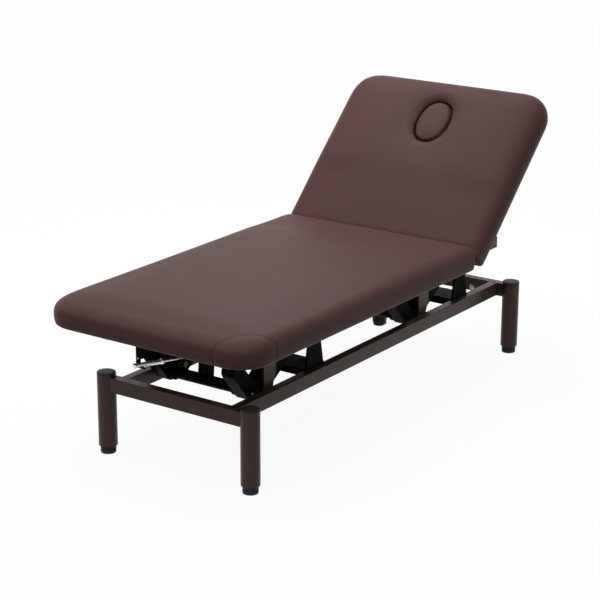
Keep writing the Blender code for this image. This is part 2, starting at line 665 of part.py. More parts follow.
def build_hinge_brackets(seat):
    """A beam from each seat rail with an upright ear for the back's hinge pin."""
    low = FRAME_TOP - HINGE_BEAM_HEIGHT
    x0 = HINGE_BEAM_X - HINGE_BEAM_WIDTH / 2
    x1 = HINGE_BEAM_X + HINGE_BEAM_WIDTH / 2
    eye = (HINGE_X, HINGE_Z)
    ear_outer = HINGE_EAR_INNER_Y + HINGE_EAR_THICKNESS
    for side, sign in SIDES:
        ys = sorted((sign * HINGE_EAR_INNER_Y, sign * (FRAME_RAIL_INNER_Y - GAP)))
        bracket = part(f"hinge_bracket_{side}", block(x0, ys[0], low, x1, ys[1], FRAME_TOP - 2 * GAP),
                       "black_steel", seat)
        outline = arc(eye, HINGE_EYE_RADIUS, 20, 200, 12)
        outline += [(x0, low + GAP), (x0 + 2 * HINGE_EYE_RADIUS, low + GAP)]
        bore = circle(eye, HINGE_PIN_DIAMETER / 2 + GAP)
        ear = extruded([outline, bore], "Y", sign * (HINGE_EAR_INNER_Y - GAP), sign * ear_outer)
        combine(bracket, ear, "UNION")
        head = sign * (HINGE_EAR_INNER_Y - 2 * GAP)
        tail = sign * (ear_outer + SIDE_PLAY + HINGE_EAR_THICKNESS + GAP)
        pin = part(f"hinge_pin_{side}", rod_y(*eye, head, tail, HINGE_PIN_DIAMETER), "zinc", seat)
        combine(pin, rod_y(*eye, head, head - sign * HINGE_PIN_HEAD, HINGE_PIN_HEAD_DIAMETER), "UNION")


def rounded_plan(x0, x1, half_width, radii, steps):
    """Plan outline, anticlockwise, with its own radius at the foot and at the head corners."""
    foot, head = radii
    outline = arc((x1 - head, half_width - head), head, 0, 90, steps)
    outline += arc((x0 + foot, half_width - foot), foot, 90, 180, steps)
    outline += arc((x0 + foot, foot - half_width), foot, 180, 270, steps)
    outline += arc((x1 - head, head - half_width), head, 270, 360, steps)
    return outline


def cushion_profile(half_width, thickness):
    """Rows of (inset, height): drawn-in side, quarter-round top edge, then the crown."""
    side_top = thickness - CUSHION_CROWN - CUSHION_EDGE
    rows = []
    for i in range(4):
        turn = pi / 2 * i / 3
        rows.append((CUSHION_TUCK * (1 - sin(turn)), CUSHION_DRAW * (1 - cos(turn))))
    for i in range(6):
        turn = pi / 2 * i / 5
        rows.append((CUSHION_EDGE * (1 - cos(turn)), side_top + CUSHION_EDGE * sin(turn)))
    room = (half_width - CUSHION_EDGE) * CROWN_REACH_SHARE
    for i in range(1, 6):
        turn = pi / 2 * i / 5
        rows.append((CUSHION_EDGE + room * i / 5, side_top + CUSHION_EDGE + CUSHION_CROWN * sin(turn)))
    return rows


def cushion(x0, x1, half_width, radii, low, thickness):
    """A pad whose cover draws in underneath, rounds over its top edge and rises to a crown."""
    bm = bmesh.new()
    rows = []
    for inset, height in cushion_profile(half_width, thickness):
        half = half_width - inset
        corners = [min(max(radius - inset, radius * CORNER_KEEP_SHARE), half / 2) for radius in radii]
        plan = rounded_plan(x0 + inset, x1 - inset, half, corners, 6)
        rows.append([bm.verts.new((x, y, low + height)) for x, y in plan])
    skin(bm, rows)
    return bm


def skin(bm, rows):
    """Faces between rows of as many points each, with the first and last row closed."""
    count = len(rows[0])
    for lower, upper in zip(rows, rows[1:]):
        for i in range(count):
            j = (i + 1) % count
            bm.faces.new((lower[i], lower[j], upper[j], upper[i]))
    bm.faces.new(list(reversed(rows[0])))
    bm.faces.new(rows[-1])


def oval(centre_x, length, width, steps=32):
    """An oval a little fuller than an ellipse, its long axis along X."""
    points = []
    for i in range(steps):
        turn = 2 * pi * i / steps
        points.append((centre_x + length / 2 * fuller(cos(turn)), width / 2 * fuller(sin(turn))))
    return points


def fuller(value):
    return (1 if value >= 0 else -1) * abs(value) ** OVAL_POWER_SHARE


def build_seat(seat):
    half = CUSHION_WIDTH / 2
    radii = (CUSHION_CORNER, CUSHION_SEAM_CORNER)
    low = FRAME_TOP + GAP
    thickness = CUSHION_THICKNESS - GAP
    overhang = CUSHION_EDGE * 2
    pad = part("seat_cushion", cushion(SEAT_FOOT_X, SEAT_HEAD_X + overhang, half, radii, low, thickness),
               "brown_leather", seat)
    keep_low = low - CUT
    keep_top = CUSHION_TOP - SEAT_END_ROUND
    profile = [(SEAT_FOOT_X - CUT, keep_low), (SEAT_HEAD_X - CUSHION_TUCK / 2, keep_low),
               (SEAT_HEAD_X - CUSHION_TUCK / 2, low), (SEAT_HEAD_X, low + CUSHION_TUCK)]
    profile += arc((SEAT_HEAD_X - SEAT_END_ROUND, keep_top), SEAT_END_ROUND, 0, 80, 5)
    profile += [(SEAT_HEAD_X - 2 * SEAT_END_ROUND, CUSHION_TOP + CUT),
                (SEAT_FOOT_X - CUT, CUSHION_TOP + CUT)]
    combine(pad, extruded([profile], "Y", -half - CUT, half + CUT), "INTERSECT")
    board = rounded_plan(SEAT_FOOT_X + BOARD_INSET, SEAT_HEAD_X - BOARD_INSET, half - BOARD_INSET,
                         (CUSHION_CORNER - BOARD_INSET, CUSHION_SEAM_CORNER), 5)
    pocket = rounded_plan(SEAT_FOOT_X + BOARD_INSET - GAP, SEAT_HEAD_X - BOARD_INSET + GAP,
                          half - BOARD_INSET + GAP, (CUSHION_CORNER - BOARD_INSET, CUSHION_SEAM_CORNER), 5)
    combine(pad, extruded([pocket], "Z", low - CUT, low + BOARD_THICKNESS + GAP), "DIFFERENCE")
    part("seat_board", extruded([board], "Z", low, low + BOARD_THICKNESS), "plywood", seat)


def back_side_profile():
    """The back seen from its side, lying flat: heel round the hinge, long top and underside."""
    head = HINGE_X + BACK_LENGTH + CUT
    corner = degrees(acos(HINGE_BELOW_TOP / BACK_HEEL_RADIUS))
    profile = [(head, CUSHION_TOP + CUT), (HINGE_X + CUT, CUSHION_TOP + CUT), (HINGE_X + CUT, CUSHION_TOP)]
    profile += arc((HINGE_X, HINGE_Z), HINGE_BELOW_TOP, 90, 180, 10)
    profile += arc((HINGE_X, HINGE_Z), BACK_HEEL_RADIUS, 180 + corner, 268, 4)
    profile += [(HINGE_X + CUT, FRAME_TOP), (HINGE_X + CUT, FRAME_TOP - CUT), (head, FRAME_TOP - CUT)]
    return profile


def pocket_block(sign):
    """Room in the heel for a hinge ear and arm, and on the right for the gas strut as well."""
    inner = HINGE_POCKET_INNER_Y if sign < 0 else STRUT_Y - STRUT_CYLINDER_DIAMETER / 2 - 2 * SIDE_PLAY
    ys = sorted((sign * inner, sign * HINGE_POCKET_OUTER_Y))
    head = HINGE_X + BACK_RAIL_START + BACK_ARM_REACH + SIDE_PLAY
    return block(HINGE_X - HINGE_POCKET_FOOT, ys[0], FRAME_TOP - CUT, head, ys[1],
                 HINGE_Z + HINGE_EYE_RADIUS + SIDE_PLAY)


def build_back(back):
    half = CUSHION_WIDTH / 2
    overhang = CUSHION_EDGE * 2
    head = HINGE_X + BACK_LENGTH
    start = HINGE_X - HINGE_BELOW_TOP - overhang
    radii = (CUSHION_SEAM_CORNER, CUSHION_CORNER)
    low = FRAME_TOP + GAP
    pad = part("back_cushion", cushion(start, head, half, radii, low, CUSHION_THICKNESS - GAP),
               "brown_leather", back)
    combine(pad, extruded([back_side_profile()], "Y", -half - CUT, half + CUT), "INTERSECT")
    hole_x = HINGE_X + FACE_HOLE_FROM_HINGE
    board_x = HINGE_X + BOARD_INSET
    corner = CUSHION_CORNER - BOARD_INSET
    plan = rounded_plan(board_x, head - BOARD_INSET, half - BOARD_INSET, (CUSHION_SEAM_CORNER, corner), 5)
    pocket = rounded_plan(board_x - GAP, head - BOARD_INSET + GAP, half - BOARD_INSET + GAP,
                          (CUSHION_SEAM_CORNER, corner), 5)
    combine(pad, extruded([pocket], "Z", low - CUT, low + BOARD_THICKNESS + GAP), "DIFFERENCE")
    opening = oval(hole_x, FACE_HOLE_LENGTH, FACE_HOLE_WIDTH)
    combine(pad, extruded([opening], "Z", low - CUT, CUSHION_TOP + CUT), "DIFFERENCE")
    board_hole = oval(hole_x, FACE_HOLE_LENGTH - 2 * PLUG_LEDGE, FACE_HOLE_WIDTH - 2 * PLUG_LEDGE)
    board = part("back_board", extruded([plan, board_hole], "Z", low, low + BOARD_THICKNESS),
                 "plywood", back)
    for _, sign in SIDES:
        combine(pad, pocket_block(sign), "DIFFERENCE")
        combine(board, pocket_block(sign), "DIFFERENCE")
    plug_empty = empty("face_plug_axis", (hole_x, 0, CUSHION_TOP), back)
    part("face_plug", face_plug(hole_x), "brown_leather", plug_empty)


def face_plug(hole_x):
    """The padded oval that fills the face hole, flush with the cushion, on the board's rim."""
    length = FACE_HOLE_LENGTH - 2 * RUNNING
    width = FACE_HOLE_WIDTH - 2 * RUNNING
    high = CUSHION_TOP - PLUG_CROWN
    low = FRAME_TOP + BOARD_THICKNESS + 2 * GAP
    rows = [(PLUG_EDGE / 2, low), (0, low + PLUG_EDGE / 2), (0, high - PLUG_EDGE)]
    for i in range(1, 4):
        turn = pi / 2 * i / 3
        rows.append((PLUG_EDGE * (1 - cos(turn)), high - PLUG_EDGE + PLUG_EDGE * sin(turn)))
    for i in range(1, 4):
        rows.append((PLUG_EDGE + (width / 2 - PLUG_EDGE) * i / 4, high + PLUG_CROWN * sin(pi / 2 * i / 3)))
    bm = bmesh.new()
    rings = []
    for inset, z in rows:
        ring = oval(hole_x, length - 2 * inset, width - 2 * inset)
        rings.append([bm.verts.new((x, y, z)) for x, y in ring])
    skin(bm, rings)
    return bm


def build_back_frame(back):
    rail_top = FRAME_TOP - GAP
    rail_z = rail_top - BACK_RAIL_SIZE / 2
    rail_y = BACK_RAIL_INNER_Y + BACK_RAIL_SIZE / 2
    x0 = HINGE_X + BACK_RAIL_START
    x1 = HINGE_X + BACK_RAIL_END
    arm_inner = HINGE_EAR_INNER_Y + HINGE_EAR_THICKNESS + SIDE_PLAY
    for side, sign in SIDES:
        bm = rectangular_tube("X", (sign * rail_y, rail_z), x0, x1, BACK_RAIL_SIZE, BACK_RAIL_SIZE,
                              BACK_RAIL_WALL)
        rail = part(f"back_rail_{side}", bm, "black_steel", back)
        eye = (HINGE_X, HINGE_Z)
        outline = arc(eye, HINGE_EYE_RADIUS, 50, 230, 12)
        outline += [(x0 + GAP, rail_top - BACK_RAIL_WALL / 2),
                    (x0 + BACK_ARM_REACH, rail_top - BACK_RAIL_WALL / 2)]
        bore = circle(eye, HINGE_PIN_DIAMETER / 2 + RUNNING)
        arm_outer = arm_inner + HINGE_EAR_THICKNESS
        combine(rail, extruded([outline, bore], "Y", sign * arm_inner, sign * arm_outer), "UNION")
        if side == "right":
            add_strut_lug(rail)
    reach = BACK_RAIL_INNER_Y - GAP
    for name, distance in (("lower", BACK_CROSSBAR_LOWER), ("upper", BACK_CROSSBAR_UPPER)):
        bm = rectangular_tube("Y", (HINGE_X + distance, rail_z), -reach, reach, BACK_RAIL_SIZE,
                              BACK_RAIL_SIZE, BACK_RAIL_WALL)
        part(f"back_crossbar_{name}", bm, "black_steel", back)


def strut_lug():
    return (HINGE_X + STRUT_LUG_X, HINGE_Z + STRUT_LUG_Z)


def add_strut_lug(rail):
    """A lug that hangs from the right back rail, with the pin of the strut's rod."""
    pin = strut_lug()
    top = FRAME_TOP - GAP - BACK_RAIL_SIZE + BACK_RAIL_WALL / 2
    half = BACK_ARM_REACH
    outline = arc(pin, STRUT_CHEEK_RADIUS, 190, 350, 10)
    outline += [(pin[0] + half, top), (pin[0] - half, top)]
    outer = BACK_RAIL_INNER_Y + STRUT_CHEEK_THICKNESS
    combine(rail, extruded([outline], "Y", BACK_RAIL_INNER_Y, outer), "UNION")
    pin_end = STRUT_Y - STRUT_EYE_WIDTH / 2 - RUNNING
    weld = BACK_RAIL_INNER_Y + STRUT_CHEEK_THICKNESS / 2
    combine(rail, rod_y(*pin, pin_end, weld, STRUT_PIN_DIAMETER), "UNION")


def turned_point(point, centre, angle):
    """A point of the XZ plane turned about another, from +X towards +Z."""
    dx = point[0] - centre[0]
    dz = point[1] - centre[1]
    return (centre[0] + dx * cos(angle) - dz * sin(angle), centre[1] + dx * sin(angle) + dz * cos(angle))


def build_strut(cylinder_pivot, rod_pivot):
    """Gas strut: a cylinder on the crossbar and a rod on the back's lug, in line at rest."""
    base = strut_base()
    tip = turned_point(strut_lug(), (HINGE_X, HINGE_Z), radians(BACK_REST_DEGREES))
    flat = hypot(strut_lug()[0] - base[0], strut_lug()[1] - base[1])
    run = Vector((tip[0] - base[0], 0, tip[1] - base[1]))
    length = run.length
    axis = run.normalized()
    start = Vector((base[0], STRUT_Y, base[1]))
    shell = STRUT_CYLINDER_DIAMETER / 2
    bore = STRUT_BORE / 2
    depth = STRUT_CYLINDER_LENGTH - STRUT_EYE_RADIUS - SIDE_PLAY
    neck = STRUT_EYE_RADIUS / 2
    profile = [(0, neck), (shell, neck), (shell, STRUT_CYLINDER_LENGTH), (bore, STRUT_CYLINDER_LENGTH),
               (bore, STRUT_CYLINDER_LENGTH - depth + STRUT_EYE_RADIUS),
               (0, STRUT_CYLINDER_LENGTH - depth + STRUT_EYE_RADIUS)]
    cylinder = part("strut_cylinder", turned(profile, start, axis, 16), "black_steel", cylinder_pivot)
    half = STRUT_EYE_WIDTH / 2
    combine(cylinder, rod_y(*base, STRUT_Y - half, STRUT_Y + half, 2 * STRUT_EYE_RADIUS), "UNION")
    trim_eye(cylinder, base, half, shell)
    combine(cylinder, rod_y(*base, STRUT_Y - shell - CUT, STRUT_Y + shell + CUT,
                            STRUT_PIN_DIAMETER + 2 * RUNNING), "DIFFERENCE")
    inner_end = flat - STRUT_CYLINDER_LENGTH + STRUT_ROD_INSIDE
    reach = max(inner_end, length - STRUT_CYLINDER_LENGTH + STRUT_EYE_RADIUS)
    end = Vector((tip[0], STRUT_Y, tip[1]))
    rod_piece = part("strut_rod", rod(end - axis * reach, end, STRUT_ROD_DIAMETER), "chrome", rod_pivot)
    combine(rod_piece, rod_y(*tip, STRUT_Y - half, STRUT_Y + half, 2 * STRUT_EYE_RADIUS), "UNION")
    bore = STRUT_PIN_DIAMETER + 2 * RUNNING
    combine(rod_piece, rod_y(*tip, STRUT_Y - shell, STRUT_Y + shell, bore), "DIFFERENCE")


def trim_eye(cylinder, base, half, shell):
    """Flats on the cylinder's foot, where it passes between the two cheeks."""
    reach = STRUT_CHEEK_RADIUS + SIDE_PLAY
    for _, sign in SIDES:
        ys = sorted((STRUT_Y + sign * half, STRUT_Y + sign * (shell + CUT)))
        combine(cylinder, block(base[0] - reach, ys[0], base[1] - reach, base[0] + reach, ys[1],
                                base[1] + reach), "DIFFERENCE")


def build_actuator(seat, rod_pivot):
    """Guide tube, gearbox and motor fixed in the seat frame; the rod pulls the foot arm's lugs."""
    pin = actuator_pin_place()
    axis_z = LIFT_PIVOT_Z + CRANK_MEAN
    mouth = pin[0] + ACTUATOR_GUIDE_FROM_PIN
    guide_end = mouth + ACTUATOR_GUIDE_LENGTH
    box0 = LIFT_HEAD_X + GEARBOX_FROM_HANGER
    guide = ACTUATOR_GUIDE_DIAMETER / 2
    tube = ACTUATOR_TUBE_DIAMETER / 2
    bore = ACTUATOR_GUIDE_BORE / 2
    wall = guide - bore
    profile = [(0, guide_end - wall - mouth), (bore, guide_end - wall - mouth), (bore, 0), (guide, 0),
               (guide, guide_end - mouth), (tube, guide_end - mouth + wall), (tube, box0 - GAP - mouth),
               (0, box0 - GAP - mouth)]
    part("actuator_tube", turned(profile, (mouth, 0, axis_z), (1, 0, 0)), "black_steel", seat)
    box = block(box0, -GEARBOX_WIDTH / 2, axis_z - GEARBOX_HEIGHT / 2, box0 + GEARBOX_LENGTH,
                GEARBOX_WIDTH / 2, axis_z + GEARBOX_HEIGHT / 2)
    bevel_edges(box, GEARBOX_ROUND)
    part("actuator_gearbox", box, "black_plastic", seat)
    top = axis_z - GEARBOX_HEIGHT / 2 - GAP
    radius = MOTOR_DIAMETER / 2
    cap = MOTOR_CAP_DIAMETER / 2
    low = top - MOTOR_LENGTH
    motor = [(0, low), (cap, low), (cap, low + MOTOR_CAP), (radius, low + MOTOR_CAP), (radius, top),
             (0, top)]
    motor_x = LIFT_HEAD_X + MOTOR_FROM_HANGER
    part("actuator_motor", turned(motor, (motor_x, 0, 0)), "black_plastic", seat)
    half = ACTUATOR_EYE_WIDTH / 2
    end = pin[0] + ACTUATOR_ROD_LENGTH
    piece = part("actuator_rod", rod((pin[0], 0, pin[1]), (end, 0, pin[1]), ACTUATOR_ROD_DIAMETER),
                 "chrome", rod_pivot)
    combine(piece, rod_y(*pin, -half, half, 2 * ACTUATOR_EYE_RADIUS, 20), "UNION")
    bore = ACTUATOR_PIN_DIAMETER + 2 * RUNNING
    combine(piece, rod_y(*pin, -half - CUT, half + CUT, bore), "DIFFERENCE")
    build_saddle(seat, axis_z)


def build_saddle(seat, axis_z):
    """Block that hangs the actuator's tube from the strut crossbar."""
    x0 = CROSSBAR_STRUT_X - SADDLE_LENGTH / 2
    x1 = CROSSBAR_STRUT_X + SADDLE_LENGTH / 2
    half = ACTUATOR_TUBE_DIAMETER / 2 + SADDLE_WALL
    under_bar = FRAME_TOP - CROSSBAR_HEIGHT - GAP
    saddle = part("actuator_saddle", block(x0, -half, axis_z - half, x1, half, under_bar),
                  "black_steel", seat)
    bore = ACTUATOR_TUBE_DIAMETER + 2 * GAP
    combine(saddle, rod((x0 - CUT, 0, axis_z), (x1 + CUT, 0, axis_z), bore, 24), "DIFFERENCE")


def bevel_edges(bm, width, segments=2):
    bmesh.ops.bevel(bm, geom=bm.edges[:], offset=width, segments=segments, affect="EDGES")


def build_release(seat):
    """Pull handle at the foot end: ball, grip, collar and thin rod, through a hanging plate."""
    start = Vector((RELEASE_BALL_X, RELEASE_BALL_Y, RELEASE_BALL_Z))
    run = Vector((RELEASE_RUN_X, RELEASE_RUN_Y, RELEASE_RUN_Z))
    axis = run.normalized()
    pivot = empty("release_axis", start, seat)
    ball = RELEASE_BALL_DIAMETER / 2
    grip = RELEASE_GRIP_DIAMETER / 2
    thin = RELEASE_ROD_DIAMETER / 2
    collar = RELEASE_COLLAR_DIAMETER / 2
    profile = [(ball * sin(pi * i / 8), -ball * cos(pi * i / 8)) for i in range(6)]
    profile += [(grip, ball), (grip, RELEASE_GRIP_END), (collar, RELEASE_GRIP_END),
                (collar, RELEASE_GRIP_END + RELEASE_COLLAR), (thin, RELEASE_GRIP_END + RELEASE_COLLAR),
                (thin, run.length), (0, run.length)]
    profile[0] = (0, -ball)
    part("release_handle", turned(profile, start, axis, 14), "chrome", pivot)
    share = (CROSSBAR_FOOT_X - RELEASE_BALL_X) / RELEASE_RUN_X
    middle = start + run * share
    half = RELEASE_PLATE_THICKNESS / 2
    plate = part("release_plate", block(middle.x - half, middle.y - RELEASE_PLATE_WIDTH / 2,
                                        middle.z - RELEASE_PLATE_BELOW, middle.x + half,
                                        middle.y + RELEASE_PLATE_WIDTH / 2,
                                        FRAME_TOP - CROSSBAR_HEIGHT - GAP), "black_steel", seat)
    combine(plate, rod(middle - axis * CUT, middle + axis * CUT, RELEASE_GRIP_DIAMETER + 2 * RUNNING, 20),
            "DIFFERENCE")


def build_control_box(seat):
    top = FRAME_TOP
    x0 = CONTROL_X - CONTROL_LENGTH / 2
    x1 = CONTROL_X + CONTROL_LENGTH / 2
    y0 = CONTROL_Y - CONTROL_WIDTH / 2
    y1 = CONTROL_Y + CONTROL_WIDTH / 2
    box = block(x0, y0, top - CONTROL_HEIGHT, x1, y1, top)
    bevel_edges(box, CONTROL_ROUND)
    case = part("control_box", box, "black_plastic", seat)
    middle = top - CONTROL_HEIGHT / 2
    combine(case, block(x0 - CUT, CONTROL_Y - INLET_WIDTH / 2, middle - INLET_HEIGHT / 2, x0 + INLET_DEPTH,
                        CONTROL_Y + INLET_WIDTH / 2, middle + INLET_HEIGHT / 2), "DIFFERENCE")


def centre_on_origin(bed):
    """Move the whole bed along X, so that its origin is under the middle of its bounding box."""
    bpy.context.view_layer.update()
    graph = bpy.context.evaluated_depsgraph_get()
    reach = []
    for thing in bpy.data.objects:
        if thing.type == "MESH" and not thing.hide_render:
            solid = thing.evaluated_get(graph)
            reach += [(solid.matrix_world @ vertex.co).x for vertex in solid.data.vertices]
    bed.location.x = -(min(reach) + max(reach)) / 2


def build():
    clear_scene()
    bed = empty("bed", (0, 0, 0))
    build_legs(bed)
    build_base_frame(bed)
    build_posts(bed)
    post_z = LIFT_PIVOT_Z + ARM_RISE
    foot_arm = empty("foot_arm_pivot", (LIFT_FOOT_X + ARM_RUN, 0, post_z), bed)
    head_arm = empty("head_arm_pivot", (LIFT_HEAD_X + ARM_RUN, 0, post_z), bed)
    build_lift_arm("foot", LIFT_FOOT_X, foot_arm)
    build_lift_arm("head", LIFT_HEAD_X, head_arm)
    tie_place = (LIFT_FOOT_X - TIE_PIN_X, 0, LIFT_PIVOT_Z + TIE_PIN_Z)
    tie_left = empty("tie_rod_left_pivot", tie_place, foot_arm)
    tie_right = empty("tie_rod_right_pivot", tie_place, foot_arm)
    build_tie_rods(tie_left, tie_right)
    seat = empty("seat_pivot", (LIFT_FOOT_X, 0, LIFT_PIVOT_Z), foot_arm)
    build_hangers(seat)
    build_seat_frame(seat)
    build_hinge_brackets(seat)
    build_seat(seat)
    build_release(seat)
    build_control_box(seat)
    pin = actuator_pin_place()
    actuator_rod = empty("actuator_rod_pivot", (pin[0], 0, pin[1]), foot_arm)
    build_actuator(seat, actuator_rod)
    back = empty("back_hinge", (HINGE_X, 0, HINGE_Z), seat, -radians(BACK_REST_DEGREES))
    build_back(back)
    build_back_frame(back)
    base = strut_base()
    tip = turned_point(strut_lug(), (HINGE_X, HINGE_Z), radians(BACK_REST_DEGREES))
    strut_cylinder = empty("strut_cylinder_pivot", (base[0], STRUT_Y, base[1]), seat)
    strut_rod = empty("strut_rod_pivot", (tip[0], STRUT_Y, tip[1]), seat)
    build_strut(strut_cylinder, strut_rod)
    centre_on_origin(bed)


build()
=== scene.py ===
# %% [markdown]
# A reclining massage bed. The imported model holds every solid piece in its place, in metres, and the bodies that
# move. This lesson dresses it: it keeps the flat steelwork, turns the round pieces again with smooth edges, blows
# the cushions up as soft goods, and gives each surface a finish built from nodes.

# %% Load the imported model
import math
import bpy
import bmesh
import numpy as np
from mathutils import Matrix, Vector, noise


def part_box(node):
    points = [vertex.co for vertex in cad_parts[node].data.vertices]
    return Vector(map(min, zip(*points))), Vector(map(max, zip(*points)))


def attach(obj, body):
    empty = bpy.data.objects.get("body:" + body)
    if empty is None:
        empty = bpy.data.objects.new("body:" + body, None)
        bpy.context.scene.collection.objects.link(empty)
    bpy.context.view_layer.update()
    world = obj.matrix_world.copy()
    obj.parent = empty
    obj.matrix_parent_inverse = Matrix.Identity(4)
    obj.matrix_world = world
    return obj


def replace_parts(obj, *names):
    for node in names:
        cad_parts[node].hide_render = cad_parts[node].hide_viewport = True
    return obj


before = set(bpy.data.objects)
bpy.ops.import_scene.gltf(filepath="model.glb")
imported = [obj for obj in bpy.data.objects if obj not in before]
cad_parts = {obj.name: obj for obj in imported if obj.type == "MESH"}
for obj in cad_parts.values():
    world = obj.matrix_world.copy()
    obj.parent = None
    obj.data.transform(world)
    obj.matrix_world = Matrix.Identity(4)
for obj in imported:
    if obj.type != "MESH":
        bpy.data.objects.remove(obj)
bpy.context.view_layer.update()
MM = 0.001
JOIN_GAP = 0.01 * MM
SIDES = (("left", -1), ("right", 1))

# %% [markdown]
# An object holds a place and points to its data: a mesh, a lamp or a camera. It shows once it is linked to the scene.
# Blender counts in metres, so in_mm turns an outline's millimetres into metres.


# %% Adding an object
def added(name, data):
    """A new object in the scene."""
    made = bpy.data.objects.new(name, data)
    bpy.context.scene.collection.objects.link(made)
    return made


def from_bmesh(name, bm):
    """A new object with the bmesh's shape."""
    mesh = bpy.data.meshes.new(name)
    bm.to_mesh(mesh)
    bm.free()
    return added(name, mesh)


def in_mm(points):
    """Pairs of millimetres as metres."""
    return [(a * MM, b * MM) for a, b in points]


print("1 mm is", MM)

# %% [markdown]
# The camera stands low at the foot end, off the left side, with a long lens. Its place, lens and small roll were
# worked out from the legs and the cushion's edges. A camera looks along its own -Z, so its three axes are written
# as the columns of a matrix.

# %% Camera
CAMERA_PLACE = Vector((-4.60452, -3.1653, 2.1196))
CAMERA_AZIMUTH = math.radians(-54.98221)
CAMERA_ELEVATION = math.radians(17.65055)
CAMERA_ROLL = math.radians(0.22738)
LENS_MM = 111.80889
SENSOR_MM = 36
FAR_LIMIT = 200

flat_length = math.cos(CAMERA_ELEVATION)
look = -Vector((math.sin(CAMERA_AZIMUTH) * flat_length, -math.cos(CAMERA_AZIMUTH) * flat_length,
                math.sin(CAMERA_ELEVATION)))
level_right = look.cross(Vector((0, 0, 1))).normalized()
level_up = level_right.cross(look)
right = level_right * math.cos(CAMERA_ROLL) + level_up * math.sin(CAMERA_ROLL)
up = right.cross(look)
camera_data = bpy.data.cameras.new("camera")
camera_data.lens = LENS_MM
camera_data.sensor_width = SENSOR_MM
camera_data.clip_end = FAR_LIMIT
camera = added("camera", camera_data)
camera.matrix_world = Matrix.Translation(CAMERA_PLACE) @ Matrix((right, up, -look)).transposed().to_4x4()
bpy.context.scene.camera = camera
bpy.context.scene.view_settings.view_transform = "Standard"
print("camera looks along", [round(v, 3) for v in look])

# %% [markdown]
# Every look is built from shader nodes. One small function adds a node: it sets the node's own properties, links
# each input that is given another node's output, and writes the others as numbers or colours.


# %% Adding a node
WHITE = (1.0, 1.0, 1.0, 1.0)


def add_node(tree, kind, inputs, out=0, **settings):
    """Add a shader node with its settings, numbers and links, and give back one of its outputs."""
    node = tree.nodes.new("ShaderNode" + kind)
    for name, value in settings.items():
        setattr(node, name, value)
    for socket, value in inputs.items():
        if isinstance(value, bpy.types.NodeSocket):
            tree.links.new(value, node.inputs[socket])
        else:
            node.inputs[socket].default_value = value
    return node.outputs[out] if node.outputs else None


def empty_material(name):
    """A material and its node tree, which is empty."""
    material = bpy.data.materials.new(name)
    material.use_nodes = True
    material.node_tree.nodes.clear()
    return material, material.node_tree


print("add_node is ready")

# %% [markdown]
# A studio lights such a bed from a wide soft box overhead, with little light from the sides, which is why the
# cushions' sides are so much darker than their tops. One sun with a very wide disc does that evenly over the whole
# floor, and a weaker round panel over the head end makes the back's upper part a little brighter than the foot end.
# The world is white where it is seen or mirrored, and gives only weak fill light.

# %% Lights and world
SUN_LEVEL = 1.68
SUN_DISC = math.radians(75)
SUN_FROM = Vector((-0.24, 0.08, 1.0))
FILL_LEVEL = 0.22
PANEL_PLACE = Vector((0.75, 0.6, 1.9))
PANEL_ACROSS = 1.0
PANEL_POWER = 9.0

sun_data = bpy.data.lights.new("softbox", "SUN")
sun_data.energy = SUN_LEVEL
sun_data.angle = SUN_DISC
sun = added("softbox", sun_data)
sun.rotation_euler = SUN_FROM.to_track_quat("Z", "Y").to_euler()

panel_data = bpy.data.lights.new("panel", "AREA")
panel_data.shape = "DISK"
panel_data.size = PANEL_ACROSS
panel_data.energy = PANEL_POWER
panel = added("panel", panel_data)
panel.location = PANEL_PLACE


def seen_directly(tree):
    """A value of 1 for rays of the camera, of mirrors and of glass, and 0 for rays that carry light."""
    ray = add_node(tree, "LightPath", {}).node.outputs
    seen = add_node(tree, "Math", {0: ray["Is Camera Ray"], 1: ray["Is Glossy Ray"]}, operation="MAXIMUM")
    return add_node(tree, "Math", {0: seen, 1: ray["Is Transmission Ray"]}, operation="MAXIMUM")


world = bpy.data.worlds.new("studio")
bpy.context.scene.world = world
world.use_nodes = True
tree = world.node_tree
tree.nodes.clear()
fill = add_node(tree, "Background", {"Color": WHITE, "Strength": FILL_LEVEL})
backdrop = add_node(tree, "Background", {"Color": WHITE, "Strength": 1.0})
mix = add_node(tree, "MixShader", {0: seen_directly(tree), 1: fill, 2: backdrop})
add_node(tree, "OutputWorld", {0: mix})
print("sun", SUN_LEVEL, "fill", FILL_LEVEL)

# %% [markdown]
# The floor is plain and almost white. Most of its brightness glows, so that it melts into the background, and the
# rest is paint, which takes the soft shadow of the bed. For light that bounces, it is a mid grey, so that it
# doesn't lighten the undersides more than a studio floor does.

# %% Floor
FLOOR_REACH = 40.0
FLOOR_GLOW = 0.93
FLOOR_PAINT = 0.20
SHADOW_PAINT = 0.08

bm = bmesh.new()
bmesh.ops.create_grid(bm, x_segments=1, y_segments=1, size=FLOOR_REACH)
floor = from_bmesh("floor", bm)
paint, tree = empty_material("floor_paint")
glow = add_node(tree, "Emission", {"Strength": FLOOR_GLOW})
lit = add_node(tree, "BsdfDiffuse", {"Color": (FLOOR_PAINT, FLOOR_PAINT, FLOOR_PAINT, 1.0)})
shaded = add_node(tree, "BsdfDiffuse", {"Color": (SHADOW_PAINT, SHADOW_PAINT, SHADOW_PAINT, 1.0)})
both = add_node(tree, "AddShader", {0: glow, 1: shaded})
mix = add_node(tree, "MixShader", {0: seen_directly(tree), 1: lit, 2: both})
add_node(tree, "OutputMaterial", {0: mix})
floor.data.materials.append(paint)
print("floor", 2 * FLOOR_REACH, "m wide")

